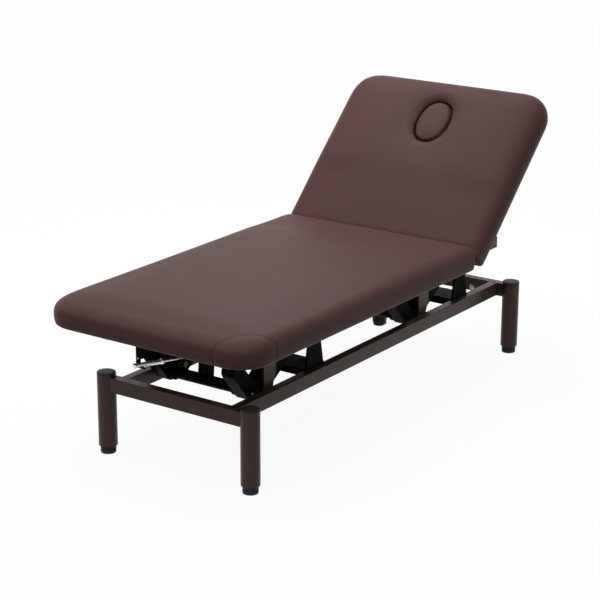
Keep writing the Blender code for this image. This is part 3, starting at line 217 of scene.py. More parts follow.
# %% [markdown]
# Every finish is a Principled shader fed by the same few things: a noise that shifts the colour a little over the
# piece, a finer noise that changes the gloss, and a grain that dents the surface. All read the place on the piece in
# metres, so a texture's scale is one over the size of its cell: a cell of 30 mm is a scale of 1 / (30 * MM). A noise
# runs from about 0.3 to 0.7, and SPREAD stretches that to the full range. The colours are written as the hex numbers
# that a picture editor shows, and one function turns them linear.


# %% Colour
SPREAD = {"From Min": 0.3, "From Max": 0.7}


def linear(hex_colour, share=1.0):
    """A hex colour as the linear numbers that a shader takes, made darker or lighter by a share."""
    levels = [int(hex_colour[i:i + 2], 16) / 255 for i in (1, 3, 5)]
    return tuple(share * (v / 12.92 if v <= 0.04045 else ((v + 0.055) / 1.055) ** 2.4) for v in levels) + (1.0,)


print("mid grey is", round(linear("#808080")[0], 3), "linear")

# %% [markdown]
# The base frame, hangers and seat rails are steel tube with a polyester powder coat, sprayed on dry and melted in an
# oven. It flows into a skin with a faint orange peel of about 1.6 mm, has a satin gloss, and rubs paler along its
# edges. Such a coat has an IOR of 1.5 and a roughness of 0.3 to 0.5. The photograph's is darker than that in mirrored
# light, so the specular level is lowered. The lift is the same coat in black. The peel is drawn at its real size: it
# is too fine for the main view, as in the photograph, and shows close up.


# %% Powder coats
CLOUD_CELL = 90 * MM
RUB_CELL = 12 * MM
GLOSS_CELL = 30 * MM
PEEL_CELL = 1.6 * MM
PEEL_DEPTH = 0.06 * MM
EDGE_RANGE = {"From Min": 0.53, "From Max": 0.62}
PATCH_RANGE = {"From Min": 0.45, "From Max": 0.65}


def powder_coat(name, hex_colour, edge_colour, roughness, specular):
    material, tree = empty_material(name)
    place = add_node(tree, "TexCoord", {}, "Object")
    cloud = add_node(tree, "TexNoise", {"Vector": place, "Scale": 1 / CLOUD_CELL, "Detail": 3.0})
    share = add_node(tree, "MapRange", {"Value": cloud, **SPREAD})
    dark, pale = linear(hex_colour, 0.90), linear(hex_colour, 1.10)
    body = add_node(tree, "Mix", {"Factor": share, 6: dark, 7: pale}, 2, data_type="RGBA")
    bend = add_node(tree, "NewGeometry", {}, "Pointiness")
    edge = add_node(tree, "MapRange", {"Value": bend, **EDGE_RANGE})
    rub = add_node(tree, "TexNoise", {"Vector": place, "Scale": 1 / RUB_CELL, "Detail": 4.0})
    patch = add_node(tree, "MapRange", {"Value": rub, **PATCH_RANGE})
    rubbed = add_node(tree, "Math", {0: edge, 1: patch}, operation="MULTIPLY")
    colour = add_node(tree, "Mix", {"Factor": rubbed, 6: body, 7: linear(edge_colour)}, 2, data_type="RGBA")
    haze = add_node(tree, "TexNoise", {"Vector": place, "Scale": 1 / GLOSS_CELL, "Detail": 4.0})
    gloss = add_node(tree, "MapRange", {"Value": haze, **SPREAD,
                                        "To Min": roughness - 0.06, "To Max": roughness + 0.07})
    peel = add_node(tree, "TexNoise", {"Vector": place, "Scale": 1 / PEEL_CELL, "Detail": 1.0})
    dents = add_node(tree, "Bump", {"Height": peel, "Distance": PEEL_DEPTH, "Strength": 0.6})
    look = {"Base Color": colour, "Roughness": gloss, "Specular IOR Level": specular, "Normal": dents}
    add_node(tree, "OutputMaterial", {0: add_node(tree, "BsdfPrincipled", look)})
    return material


brown_coat = powder_coat("brown_powder_coat_finish", "#503C36", "#625046", 0.33, 0.20)
black_coat = powder_coat("black_powder_coat_finish", "#0C0B0A", "#242220", 0.44, 0.02)
print("two powder coats")

# %% [markdown]
# The caps, levelling feet, gearbox and motor can are ABS, moulded in a steel form that was spark eroded, which leaves
# a fine matt grain. ABS has an IOR of 1.53 and a roughness of about 0.4 with such a grain. Each part's black wanders
# a little where the plastic flowed. The specular level is lowered to the photograph's caps. The real grain is under
# 0.1 mm, too fine to show, so it is drawn as coarse as 0.6 mm, which shows close up.


# %% Moulded plastic
FLOW_CELL = 20 * MM
SHINE_CELL = 8 * MM
SPARK_CELL = 0.6 * MM
SPARK_DEPTH = 0.04 * MM


def moulded(name, hex_colour, roughness, specular):
    material, tree = empty_material(name)
    place = add_node(tree, "TexCoord", {}, "Object")
    flow = add_node(tree, "TexNoise", {"Vector": place, "Scale": 1 / FLOW_CELL, "Detail": 3.0})
    share = add_node(tree, "MapRange", {"Value": flow, **SPREAD})
    dark, pale = linear(hex_colour, 0.88), linear(hex_colour, 1.14)
    colour = add_node(tree, "Mix", {"Factor": share, 6: dark, 7: pale}, 2, data_type="RGBA")
    haze = add_node(tree, "TexNoise", {"Vector": place, "Scale": 1 / SHINE_CELL, "Detail": 4.0})
    gloss = add_node(tree, "MapRange", {"Value": haze, **SPREAD,
                                        "To Min": roughness - 0.05, "To Max": roughness + 0.08})
    grain = add_node(tree, "TexNoise", {"Vector": place, "Scale": 1 / SPARK_CELL, "Detail": 2.0})
    dents = add_node(tree, "Bump", {"Height": grain, "Distance": SPARK_DEPTH, "Strength": 0.5})
    look = {"Base Color": colour, "Roughness": gloss, "Specular IOR Level": specular, "Normal": dents}
    add_node(tree, "OutputMaterial", {0: add_node(tree, "BsdfPrincipled", look)})
    return material


cap_plastic = moulded("black_abs_finish", "#46484A", 0.42, 0.10)
print("one plastic")

# %% [markdown]
# The bright parts are plated steel. The release handle and the drive's rod are chrome plated and polished: nearly a
# mirror, with a haze where hands touch it. Pins and screws are zinc plated in a drum and passivated, which leaves
# them greyer and cloudy. Both are metals, so they are fully metallic with the default IOR. Polished chrome has a
# roughness of 0.05 to 0.2 and zinc plate 0.3 to 0.5. The photograph's handle is softer than a new mirror. The marks
# of the polishing wheel are too fine to show, so they are drawn 0.9 mm apart.


# %% Chrome and zinc
BRUSH_CELL = 0.9 * MM
BRUSH_DEPTH = 0.01 * MM


def plated(name, hex_colour, roughness, haze_range, cloud_cell):
    material, tree = empty_material(name)
    place = add_node(tree, "TexCoord", {}, "Object")
    cloud = add_node(tree, "TexNoise", {"Vector": place, "Scale": 1 / cloud_cell, "Detail": 3.0})
    share = add_node(tree, "MapRange", {"Value": cloud, **SPREAD})
    dark, pale = linear(hex_colour, 0.86), linear(hex_colour)
    colour = add_node(tree, "Mix", {"Factor": share, 6: dark, 7: pale}, 2, data_type="RGBA")
    haze = add_node(tree, "TexNoise", {"Vector": place, "Scale": 3 / cloud_cell, "Detail": 4.0})
    gloss = add_node(tree, "MapRange", {"Value": haze, **SPREAD,
                                        "To Min": roughness, "To Max": roughness + haze_range})
    marks = add_node(tree, "TexNoise", {"Vector": place, "Scale": 1 / BRUSH_CELL, "Detail": 3.0})
    dents = add_node(tree, "Bump", {"Height": marks, "Distance": BRUSH_DEPTH, "Strength": 0.4})
    look = {"Base Color": colour, "Roughness": gloss, "Metallic": 1.0, "Normal": dents}
    add_node(tree, "OutputMaterial", {0: add_node(tree, "BsdfPrincipled", look)})
    return material


chrome = plated("chrome_finish", "#F2F2F3", 0.28, 0.08, 20 * MM)
zinc = plated("zinc_finish", "#A9A9A6", 0.30, 0.16, 6 * MM)
print("two metals")

# %% [markdown]
# The boards under the cushions are birch plywood, peeled, glued and sanded. Its face has pale streaks along the
# board, about 110 mm long and 8 mm wide, so the noise is squeezed across the grain. Sanded raw birch is dull, with a
# roughness of 0.6 and little shine.


# %% Plywood
STREAK_CELL = 1000 / 9 * MM
STREAK_SQUEEZE = 14.0
GRAIN_DEPTH = 0.2 * MM
SANDING_CELL = 10 * MM


def birch_plywood(name):
    material, tree = empty_material(name)
    place = add_node(tree, "TexCoord", {}, "Object")
    squeezed = add_node(tree, "Mapping", {"Vector": place, "Scale": (1.0, STREAK_SQUEEZE, STREAK_SQUEEZE)})
    grain = add_node(tree, "TexNoise", {"Vector": squeezed, "Scale": 1 / STREAK_CELL, "Detail": 6.0})
    share = add_node(tree, "MapRange", {"Value": grain, **SPREAD})
    colour = add_node(tree, "Mix", {"Factor": share, 6: linear("#B08B63"), 7: linear("#CBA981")}, 2, data_type="RGBA")
    sanding = add_node(tree, "TexNoise", {"Vector": place, "Scale": 1 / SANDING_CELL, "Detail": 4.0})
    gloss = add_node(tree, "MapRange", {"Value": sanding, **SPREAD, "To Min": 0.55, "To Max": 0.72})
    dents = add_node(tree, "Bump", {"Height": grain, "Distance": GRAIN_DEPTH, "Strength": 0.5})
    look = {"Base Color": colour, "Roughness": gloss, "Specular IOR Level": 0.3, "Normal": dents}
    add_node(tree, "OutputMaterial", {0: add_node(tree, "BsdfPrincipled", look)})
    return material


plywood = birch_plywood("birch_plywood_finish")
print("one wood")

# %% [markdown]
# The covers are artificial leather: a polyurethane skin on a knitted cloth, embossed by a hot roller with a net of
# fine creases round pebbles of about 1.4 mm, with pores between them. Such a skin has an IOR of 1.5 and a roughness
# of 0.4 to 0.6, so it brightens at a low angle, and the photograph's is rather dull. The Voronoi texture gives the
# pebbles: its distance to the nearest cell edge is low in the creases, which are painted darker as painted shade.
# They are too fine for the main view, as in the photograph, and show close up. A corner panel is sewn into a foot
# corner of the seat. Along its seam the groove is painted dark as painted shade, drawn from a number kept on the
# mesh, the distance to the seam in metres, so the line stays fine however coarse the mesh is.


# %% Artificial leather
LEATHER = "#563A39"
STRETCH_CELL = 160 * MM
PEBBLE_CELL = 1.4 * MM
WANDER_CELL = 3 * MM
WANDER_SHARE = 0.0012
PORE_CELL = 0.5 * MM
WEAR_CELL = 50 * MM
EMBOSS_DEPTH = 0.09 * MM
SEAM_INNER = 0.6 * MM
SEAM_OUTER = 2.6 * MM
SEAM_RISE = 14.0


def leather_finish(name, seam=None):
    material, tree = empty_material(name)
    place = add_node(tree, "TexCoord", {}, "Object")
    stretch = add_node(tree, "TexNoise", {"Vector": place, "Scale": 1 / STRETCH_CELL, "Detail": 3.0})
    share = add_node(tree, "MapRange", {"Value": stretch, **SPREAD})
    dark, pale = linear(LEATHER, 0.98), linear(LEATHER, 1.02)
    skin = add_node(tree, "Mix", {"Factor": share, 6: dark, 7: pale}, 2, data_type="RGBA")
    wander = add_node(tree, "TexNoise", {"Vector": place, "Scale": 1 / WANDER_CELL}, "Color")
    bent = add_node(tree, "Mix", {"Factor": WANDER_SHARE, 4: place, 5: wander}, 1, data_type="VECTOR")
    pebble = add_node(tree, "TexVoronoi", {"Vector": bent, "Scale": 1 / PEBBLE_CELL}, feature="DISTANCE_TO_EDGE")
    crease = add_node(tree, "MapRange", {"Value": pebble, "From Min": 0.0, "From Max": 0.16})
    # Painted shade: the creases of the emboss are painted at 0.8 of the leather's colour.
    body = add_node(tree, "Mix", {"Factor": crease, 6: linear(LEATHER, 0.80), 7: skin}, 2, data_type="RGBA")
    pore = add_node(tree, "TexNoise", {"Vector": place, "Scale": 1 / PORE_CELL, "Detail": 2.0})
    pores = add_node(tree, "Math", {0: pore, 1: 0.35}, operation="MULTIPLY")
    height = add_node(tree, "Math", {0: crease, 1: pores}, operation="ADD")
    if seam:
        # Painted shade: the seam's groove is painted dark, down to 0.44 of the leather's colour, fading out by
        # SEAM_OUTER.
        distance = add_node(tree, "Attribute", {}, "Fac", attribute_name=seam)
        gap = add_node(tree, "Math", {0: distance}, operation="ABSOLUTE")
        clear_of_seam_groove_shade = add_node(tree, "MapRange", {"Value": gap, "From Min": SEAM_INNER, "From Max": SEAM_OUTER})
        body = add_node(tree, "Mix", {"Factor": clear_of_seam_groove_shade, 6: linear(LEATHER, 0.44), 7: body}, 2, data_type="RGBA")
        raised = add_node(tree, "Math", {0: clear_of_seam_groove_shade, 1: SEAM_RISE}, operation="MULTIPLY")
        height = add_node(tree, "Math", {0: height, 1: raised}, operation="ADD")
    wear = add_node(tree, "TexNoise", {"Vector": place, "Scale": 1 / WEAR_CELL, "Detail": 4.0})
    gloss = add_node(tree, "MapRange", {"Value": wear, **SPREAD, "To Min": 0.485, "To Max": 0.515})
    dents = add_node(tree, "Bump", {"Height": height, "Distance": EMBOSS_DEPTH, "Strength": 0.75})
    look = {"Base Color": body, "Roughness": gloss, "Specular IOR Level": 0.11, "Normal": dents}
    add_node(tree, "OutputMaterial", {0: add_node(tree, "BsdfPrincipled", look)})
    return material


leather = leather_finish("brown_artificial_leather_finish")
sewn_leather = leather_finish("brown_artificial_leather_sewn_finish", "corner_seam")
print("leather colour", LEATHER)

# %% [markdown]
# The flat steelwork is right as it is packed: rails, posts, hangers, plates, boards. Each node keeps its mesh and
# only gets a finish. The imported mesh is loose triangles, so a Weld modifier joins them, and a Bevel modifier
# rounds the outer edges as bending and grinding would. Weighted normals keep the flats flat.

# %% Dress the nodes that stay
FINISHES = {"brown_powder_coat": brown_coat, "black_steel": black_coat, "black_plastic": cap_plastic,
            "brown_leather": leather, "chrome": chrome, "zinc": zinc, "plywood": plywood}
EDGE_ROUND = {"base_side_rail": 2.2, "base_end_rail": 1.6, "seat_frame_rail": 2.0, "seat_crossbar_foot": 1.8,
              "seat_crossbar_middle": 1.8, "back_crossbar": 1.6, "arm_post": 0.9, "hanger": 0.9,
              "lift_arm": 1.0, "base_channel": 0.8, "control_box": 0.6, "actuator_gearbox": 0.6,
              "seat_board": 0.8, "back_board": 0.8}
BEND_ANGLE = math.radians(40)
OTHER_ROUND = 0.5


def edge_round(node):
    """The radius of a node's outer edges, from the start of its name."""
    for start, width in EDGE_ROUND.items():
        if node.startswith(start):
            return width * MM
    return OTHER_ROUND * MM


def slot_name(node):
    """The record's slot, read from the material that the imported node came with."""
    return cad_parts[node].data.materials[0].name.split(".")[0]


slots = {node: slot_name(node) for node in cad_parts}
for node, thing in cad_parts.items():
    thing.material_slots[0].link = "OBJECT"
    thing.material_slots[0].material = FINISHES[slots[node]]
    weld = thing.modifiers.new("weld", "WELD")
    weld.merge_threshold = JOIN_GAP
    bevel = thing.modifiers.new("edges", "BEVEL")
    bevel.width = edge_round(node)
    bevel.segments = 2
    bevel.limit_method = "ANGLE"
    bevel.angle_limit = BEND_ANGLE
    bevel.use_clamp_overlap = True
    normals = thing.modifiers.new("normals", "WEIGHTED_NORMAL")
    normals.keep_sharp = False
print(len(slots), "nodes dressed in", sorted(set(slots.values())))

# %% [markdown]
# Round pieces are turned again, as on a lathe: a half outline of radius and height is spun about its axis. Sharp
# edges get a small bevel, which catches the light as a real edge does.


# %% Turning and finishing helpers
POLE_GAP = 0.0005 * MM


def soften(bm, width, segments=2, least=32):
    """Bevel every edge that turns by more than least degrees."""
    sharp = [e for e in bm.edges if len(e.link_faces) == 2 and e.calc_face_angle() > math.radians(least)]
    bmesh.ops.bevel(bm, geom=sharp, offset=width, offset_type="OFFSET", affect="EDGES", segments=segments,
                    profile=0.5, material=-1, clamp_overlap=True)
    return bm


def stood(bm, place, axis):
    """Turn a shape's Z to the axis and move it to its place."""
    turn = Vector((0, 0, 1)).rotation_difference(Vector(axis)).to_matrix().to_4x4()
    bmesh.ops.transform(bm, matrix=Matrix.Translation(place) @ turn, verts=bm.verts)
    return bm


def turned(profile, place, axis=(0, 0, 1), steps=64, ring=False, edge=0.0):
    """Spin (radius, height) points about an axis through place."""
    bm = bmesh.new()
    row = [bm.verts.new((radius, 0, height)) for radius, height in profile]
    edges = [bm.edges.new(pair) for pair in zip(row, row[1:])]
    if ring:
        edges.append(bm.edges.new((row[-1], row[0])))
    bmesh.ops.spin(bm, geom=row + edges, cent=(0, 0, 0), axis=(0, 0, 1), angle=math.tau, steps=steps,
                   use_merge=True)
    bmesh.ops.remove_doubles(bm, verts=bm.verts, dist=POLE_GAP)
    bmesh.ops.recalc_face_normals(bm, faces=bm.faces)
    if edge:
        soften(bm, edge)
    return stood(bm, place, axis)


def joined(*shapes):
    """Several bmeshes as one."""
    whole = bmesh.new()
    for shape in shapes:
        mesh = bpy.data.meshes.new("part")
        shape.to_mesh(mesh)
        shape.free()
        whole.from_mesh(mesh)
        bpy.data.meshes.remove(mesh)
    return whole


def piece(name, bm, body, finish, angle=42):
    """A finished object at the origin, riding on a body."""
    made = from_bmesh(name, bm)
    made.data.shade_smooth()
    made.data.set_sharp_from_angle(angle=math.radians(angle))
    made.data.materials.append(finish)
    made.modifiers.new("normals", "WEIGHTED_NORMAL").keep_sharp = True
    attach(made, body)
    return made


def middle(node):
    """The middle of a node's box."""
    low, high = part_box(node)
    return (low + high) / 2


print("a leg's middle is", [round(v, 4) for v in middle("leg_foot_left")])

# %% [markdown]
# Each leg is a round tube with a threaded insert in its foot and a plastic cap pressed into its top. The cap has a
# thin rim, a shallow groove and a slightly raised middle, as moulded caps have.

# %% Legs and caps
LEG_WALL = 2.0 * MM
INSERT_HEIGHT = 16.0 * MM
THREAD_HOLE = 6.3 * MM
corners = [(end, side) for end in ("foot", "head") for side, _ in SIDES]
for end, side in corners:
    node = f"leg_{end}_{side}"
    low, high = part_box(node)
    centre = middle(node)
    outer = (high.x - low.x) / 2
    inner = outer - LEG_WALL
    tube = [(THREAD_HOLE, low.z), (outer, low.z), (outer, high.z), (inner, high.z),
            (inner, low.z + INSERT_HEIGHT), (THREAD_HOLE, low.z + INSERT_HEIGHT)]
    bm = turned(tube, (centre.x, centre.y, 0), ring=True, edge=0.8 * MM)
    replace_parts(piece(f"leg_tube_{end}_{side}", bm, "base", brown_coat), node)

    node = f"leg_cap_{end}_{side}"
    low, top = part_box(node)[0].z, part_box(node)[1].z
    seat = high.z + 0.3 * MM
    plug = inner - 0.3 * MM
    cap = [(0, low), (plug, low), (plug, seat), (outer, seat), (outer, top - 2.4 * MM),
           (outer - 0.7 * MM, top - 0.7 * MM), (outer - 2.4 * MM, top), (outer - 5.0 * MM, top),
           (outer - 5.6 * MM, top - 0.5 * MM), (outer - 6.4 * MM, top - 0.5 * MM),
           (outer - 7.0 * MM, top - 0.1 * MM), (outer / 2, top + 0.3 * MM), (0, top + 0.4 * MM)]
    bm = turned(cap, (centre.x, centre.y, 0), edge=0.2 * MM)
    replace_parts(piece(f"cap_{end}_{side}", bm, "base", cap_plastic), node)
print("leg tube", round(2000 * outer, 1), "mm across")

# %% [markdown]
# A levelling foot is a moulded pad in two discs with a groove between them, on a threaded stem that screws into
# the leg. The stem is hidden at rest and shows when the foot is screwed out. Its thread is drawn as close rings,
# which at this size look like a helix and spin from one outline.

# %% Levelling feet
PAD_DISC = 11.0 * MM
PAD_GROOVE = 1.5 * MM
PAD_TOP = 11.3 * MM
STEM_RADIUS = 6.0 * MM
THREAD_PITCH = 1.75 * MM
for end, side in corners:
    node = f"levelling_foot_{end}_{side}"
    low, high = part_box(node)
    centre = middle(node)
    pad = (high.x - low.x) / 2
    neck = pad - 3.5 * MM
    groove = low.z + PAD_DISC
    disc = groove + PAD_GROOVE
    top = disc + PAD_TOP
    outline = [(0, low.z + 1.2 * MM), (pad - 9 * MM, low.z + 1.2 * MM), (pad - 10 * MM, low.z),
               (pad - 2.5 * MM, low.z), (pad - 0.6 * MM, low.z + 0.8 * MM), (pad, low.z + 2.6 * MM),
               (pad, groove - 0.8 * MM), (pad - 0.8 * MM, groove), (neck, groove), (neck, disc),
               (pad - 0.8 * MM, disc), (pad, disc + 0.8 * MM), (pad, top - 1.2 * MM), (pad - 1.2 * MM, top),
               (STEM_RADIUS, top)]
    height = top + 0.5 * MM
    while height + THREAD_PITCH < high.z:
        outline += [(STEM_RADIUS - 0.9 * MM, height), (STEM_RADIUS, height + THREAD_PITCH / 2)]
        height += THREAD_PITCH
    outline += [(STEM_RADIUS - 0.9 * MM, height), (STEM_RADIUS - 1.2 * MM, high.z), (0, high.z)]
    bm = turned(outline, (centre.x, centre.y, 0), steps=48)
    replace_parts(piece(f"foot_{end}_{side}", bm, node, cap_plastic, 30), node)
print("pad", round(2000 * pad, 1), "mm across, on", len(outline), "points of outline")

# %% [markdown]
# Each end rail has three button head screws, coated with the rail. A screw's head is a dome from the lathe, and its
# socket is pressed in: the middle face is inset and pushed down. It is round, as six sides would be too small to see.


# %% Screws of the end rails
def button_screw(place, axis, radius, height):
    """A button head with a round socket, its seat at place and its head along axis."""
    socket = radius * 0.50
    dome = [(radius, 0), (radius, height * 0.25), (radius * 0.92, height * 0.55),
            (radius * 0.72, height * 0.88), (socket * 1.2, height)]
    bm = turned(dome, (0, 0, 0), steps=24)
    rim = [e for e in bm.edges if e.is_boundary and e.verts[0].co.z > height / 2]
    filled = bmesh.ops.contextual_create(bm, geom=rim)["faces"]
    bmesh.ops.inset_region(bm, faces=filled, thickness=socket * 0.25, depth=0)
    pit = bmesh.ops.extrude_discrete_faces(bm, faces=filled)["faces"]
    bmesh.ops.translate(bm, verts=pit[0].verts, vec=(0, 0, -height * 0.7))
    return stood(bm, place, axis)


SCREW_PITCH = 137.0 * MM
SCREW_DROP = 18.0 * MM
SCREW_RADIUS = 5.2 * MM
SCREW_HEIGHT = 1.4 * MM
for end, outward in (("foot", -1), ("head", 1)):
    low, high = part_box(f"base_end_rail_{end}")
    face = low.x if outward < 0 else high.x
    heads = [button_screw((face, step * SCREW_PITCH, high.z - SCREW_DROP), (outward, 0, 0), SCREW_RADIUS,
                          SCREW_HEIGHT) for step in (-1, 0, 1)]
    piece(f"rail_screws_{end}", joined(*heads), "base", brown_coat)
print("six screws")

# %% [markdown]
# The release handle is chromed steel, turned in one piece: a ball, a thick grip, a ring that it is gripped against,
# and a thin rod to the gas strut's valve. It is the brightest thing on the bed, so its outline gets its own points.
# The ball's centre is found from the node's box.

# %% Release handle
BALL = 7.5 * MM
GRIP = 6.9 * MM
PULL_ROD = 3.0 * MM
PULL_RUN = Vector((0.178, -0.050, -0.014))
low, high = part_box("release_handle")
ball_place = Vector((low.x + BALL, high.y - BALL, high.z - BALL))
outline = [(BALL * math.cos(math.radians(a)), BALL * math.sin(math.radians(a))) for a in range(-90, 41, 10)]
outline[0] = (0, -BALL)
outline += in_mm([(5.3, 6.2), (5.4, 8)]) + [(GRIP, 13 * MM), (GRIP, 89 * MM)]
outline += in_mm([(5.2, 91), (5.2, 92), (7.6, 92), (8.5, 93), (8.5, 98), (7.6, 99)])
outline += [(PULL_ROD, 99 * MM), (PULL_ROD, PULL_RUN.length), (0, PULL_RUN.length)]
bm = turned(outline, ball_place, PULL_RUN.normalized(), steps=48)
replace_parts(piece("release_grip", bm, "release_handle", chrome, 35), "release_handle")
print("handle", round(1000 * PULL_RUN.length), "mm long")

# %% [markdown]
# The handle lies in a hook: a plate that hangs from the first crossbar, cut away beside the grip. A flat shape like
# this is one face, drawn from its corners and extruded by the plate's thickness.

# %% Hook of the handle
GRIP_PLAY = 0.6 * MM
PLATE_EDGE = 0.7 * MM
low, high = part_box("release_plate")
passing = ball_place + PULL_RUN * ((low.x - ball_place.x) / PULL_RUN.x)
corners_yz = [(low.y, high.z), (high.y, high.z), (high.y, low.z), (passing.y - 1.5 * GRIP, low.z),
              (passing.y - 1.5 * GRIP, passing.z - GRIP - GRIP_PLAY),
              (passing.y + GRIP + GRIP_PLAY, passing.z - GRIP - GRIP_PLAY),
              (passing.y + GRIP + GRIP_PLAY, passing.z + 2 * GRIP), (low.y, passing.z + 4 * GRIP)]
bm = bmesh.new()
row = [bm.verts.new((low.x, y, z)) for y, z in corners_yz]
loop = [bm.edges.new(pair) for pair in zip(row, row[1:] + row[:1])]
flat = bmesh.ops.contextual_create(bm, geom=loop)["faces"]
grown = bmesh.ops.extrude_face_region(bm, geom=flat)["geom"]
bmesh.ops.translate(bm, vec=(high.x - low.x, 0, 0), verts=[v for v in grown if isinstance(v, bmesh.types.BMVert)])
bmesh.ops.recalc_face_normals(bm, faces=bm.faces)
soften(bm, PLATE_EDGE)
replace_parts(piece("release_hook", bm, "seat_frame", black_coat), "release_plate")
bm = button_screw((low.x, high.y - 8 * MM, passing.z + 2.4 * GRIP), (-1, 0, 0), 3.6 * MM, 2.2 * MM)
piece("hook_screw", bm, "seat_frame", zinc, 30)
print("hook", round(1000 * (high.z - low.z)), "mm high")

# %% [markdown]
# The lift's pins end in flat heads on the outer faces of both arms. Beside each tie rod's pin there is the screw that
# closes the end of the torque tube, bright on the foot arm and black on the head arm, and a small dark pin between
# them. Both arms are alike, so one list of places serves both ends and both sides.

# %% Pin heads and screws of the lift arms
PIN_HEAD = in_mm([(0, 0), (8.0, 0), (8.0, 1.8), (7.2, 2.6), (3.0, 2.6), (2.4, 2.0), (0, 2.0)])
TIE_EYE = 11.0 * MM
TIE_PIN_Z = 0.300
SMALL_PIN_AT = (22.0 * MM, 0.268)
CLOSING_SCREW_AT = (51.5 * MM, 0.2365)
tie_low, tie_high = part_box("tie_rod_left")
for end, tie_x, finish, slot in (("foot", tie_low.x + TIE_EYE, zinc, "zinc"),
                                 ("head", tie_high.x - TIE_EYE, black_coat, "black_steel")):
    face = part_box(f"lift_arm_{end}")[1].y
    dark, closing = [], []
    for _, side in SIDES:
        outward = (0, side, 0)
        dark.append(turned(PIN_HEAD, (tie_x, side * face, TIE_PIN_Z), outward, steps=32))
        for heads, (x, z), radius in ((dark, SMALL_PIN_AT, 4.5 * MM), (closing, CLOSING_SCREW_AT, 3.8 * MM)):
            heads.append(button_screw((tie_x + x, side * face, z), outward, radius, 1.8 * MM))
    piece(f"arm_pins_{end}", joined(*dark), f"{end}_arm", black_coat, 30)
    piece(f"arm_screws_{end}", joined(*closing), f"{end}_arm", finish, 30)
print("pins on both arms")

# %% [markdown]
# Plugs close the open ends of the seat frame's rails, as on any tube that a hand may touch. Each is a box a
# little smaller than the tube with a thin flange outside, bevelled all round. Two bolts with washers show on the
# inside of the head end's rail.


# %% Rail plugs and rail bolts
def bevelled_box(low, high, width):
    """A box between two corners with all its edges rounded."""
    bm = bmesh.new()
    bmesh.ops.create_cube(bm, size=1)
    span = Vector(high) - Vector(low)
    bmesh.ops.scale(bm, vec=span, verts=bm.verts)
    bmesh.ops.translate(bm, vec=(Vector(low) + Vector(high)) / 2, verts=bm.verts)
    return soften(bm, width, segments=3)


FLANGE = 2.5 * MM
PLUG_DEPTH = 12.0 * MM
RAIL_WALL = 2.3 * MM
for side, _ in SIDES:
    low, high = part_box(f"seat_frame_rail_{side}")
    parts = []
    for x, outward in ((low.x, -1), (high.x, 1)):
        reach = sorted((x, x + outward * FLANGE))
        parts.append(bevelled_box((reach[0], low.y, low.z), (reach[1], high.y, high.z), 1.0 * MM))
        reach = sorted((x + outward * 0.5 * MM, x - outward * PLUG_DEPTH))
        parts.append(bevelled_box((reach[0], low.y + RAIL_WALL, low.z + RAIL_WALL),
                                  (reach[1], high.y - RAIL_WALL, high.z - RAIL_WALL), 1.0 * MM))
    piece(f"rail_plugs_{side}", joined(*parts), "seat_frame", cap_plastic)

BOLT_PLACES = [(side * 0.120, 0.2106) for _, side in SIDES]
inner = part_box("base_end_rail_head")[0].x
WASHER = in_mm([(0, 0), (9.5, 0), (9.5, 1.2), (9.0, 1.6), (0, 1.6)])
parts = []
for y, z in BOLT_PLACES:
    parts.append(turned(WASHER, (inner, y, z), (-1, 0, 0), steps=32))
    parts.append(button_screw((inner - 1.6 * MM, y, z), (-1, 0, 0), 7.0 * MM, 3.6 * MM))
piece("rail_bolts", joined(*parts), "base", zinc, 30)
print("four plugs, two bolts")

# %% [markdown]
# The drive hangs under the seat. Its motor stands upright in a can with rolled grooves and a small end cap, and its
# long tube carries the guide for the rod. Both are lathe work, so they are turned again. The gearbox gets the
# screws that hold its halves together, and the control box those of its lid.

# %% Motor, guide tube and gearbox screws
low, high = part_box("actuator_motor")
centre = middle("actuator_motor")
can = (high.x - low.x) / 2
neck = 20.0 * MM
outline = [(0, low.z), (neck - 4 * MM, low.z), (neck, low.z + 3 * MM), (neck, low.z + 12 * MM),
           (can - 1.5 * MM, low.z + 12 * MM), (can, low.z + 13.5 * MM)]
for groove in (low.z + 26 * MM, high.z - 20 * MM):
    outline += [(can, groove), (can - 1.1 * MM, groove + 1 * MM), (can - 1.1 * MM, groove + 3 * MM),
                (can, groove + 4 * MM)]
outline += [(can, high.z), (0, high.z)]
bm = turned(outline, (centre.x, centre.y, 0), edge=0.15 * MM)
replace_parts(piece("motor_can", bm, "seat_frame", cap_plastic), "actuator_motor")

low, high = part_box("actuator_tube")
GUIDE_LENGTH = 200.0 * MM
GUIDE_BORE = 18.5 * MM
TUBE = 14.0 * MM
guide = (high.y - low.y) / 2
long = high.x - low.x
outline = [(GUIDE_BORE, 0), (guide, 0), (guide, GUIDE_LENGTH - 2 * MM), (guide - 2 * MM, GUIDE_LENGTH),
           (TUBE, GUIDE_LENGTH), (TUBE, long), (0, long), (0, GUIDE_LENGTH - 4 * MM),
           (GUIDE_BORE, GUIDE_LENGTH - 4 * MM)]
bm = turned(outline, (low.x, 0, (low.z + high.z) / 2), (1, 0, 0), ring=True, edge=0.6 * MM)
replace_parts(piece("guide_tube", bm, "seat_frame", FINISHES[slots["actuator_tube"]]),
            "actuator_tube")

low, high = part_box("actuator_gearbox")
parts = [button_screw((x, side * high.y, z), (0, side, 0), 3.2 * MM, 1.6 * MM)
         for _, side in SIDES for x in (low.x + 10 * MM, high.x - 10 * MM)
         for z in (low.z + 10 * MM, high.z - 10 * MM)]
piece("gearbox_screws", joined(*parts), "seat_frame", zinc, 30)

low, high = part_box("control_box")
parts = [button_screw((x, y, low.z), (0, 0, -1), 3.5 * MM, 1.6 * MM)
         for x in (low.x + 12 * MM, high.x - 12 * MM) for y in (low.y + 10 * MM, high.y - 10 * MM)]
piece("control_box_screws", joined(*parts), "seat_frame", zinc, 30)
print("motor can", round(2000 * can), "mm across, tube", round(1000 * long), "mm long")

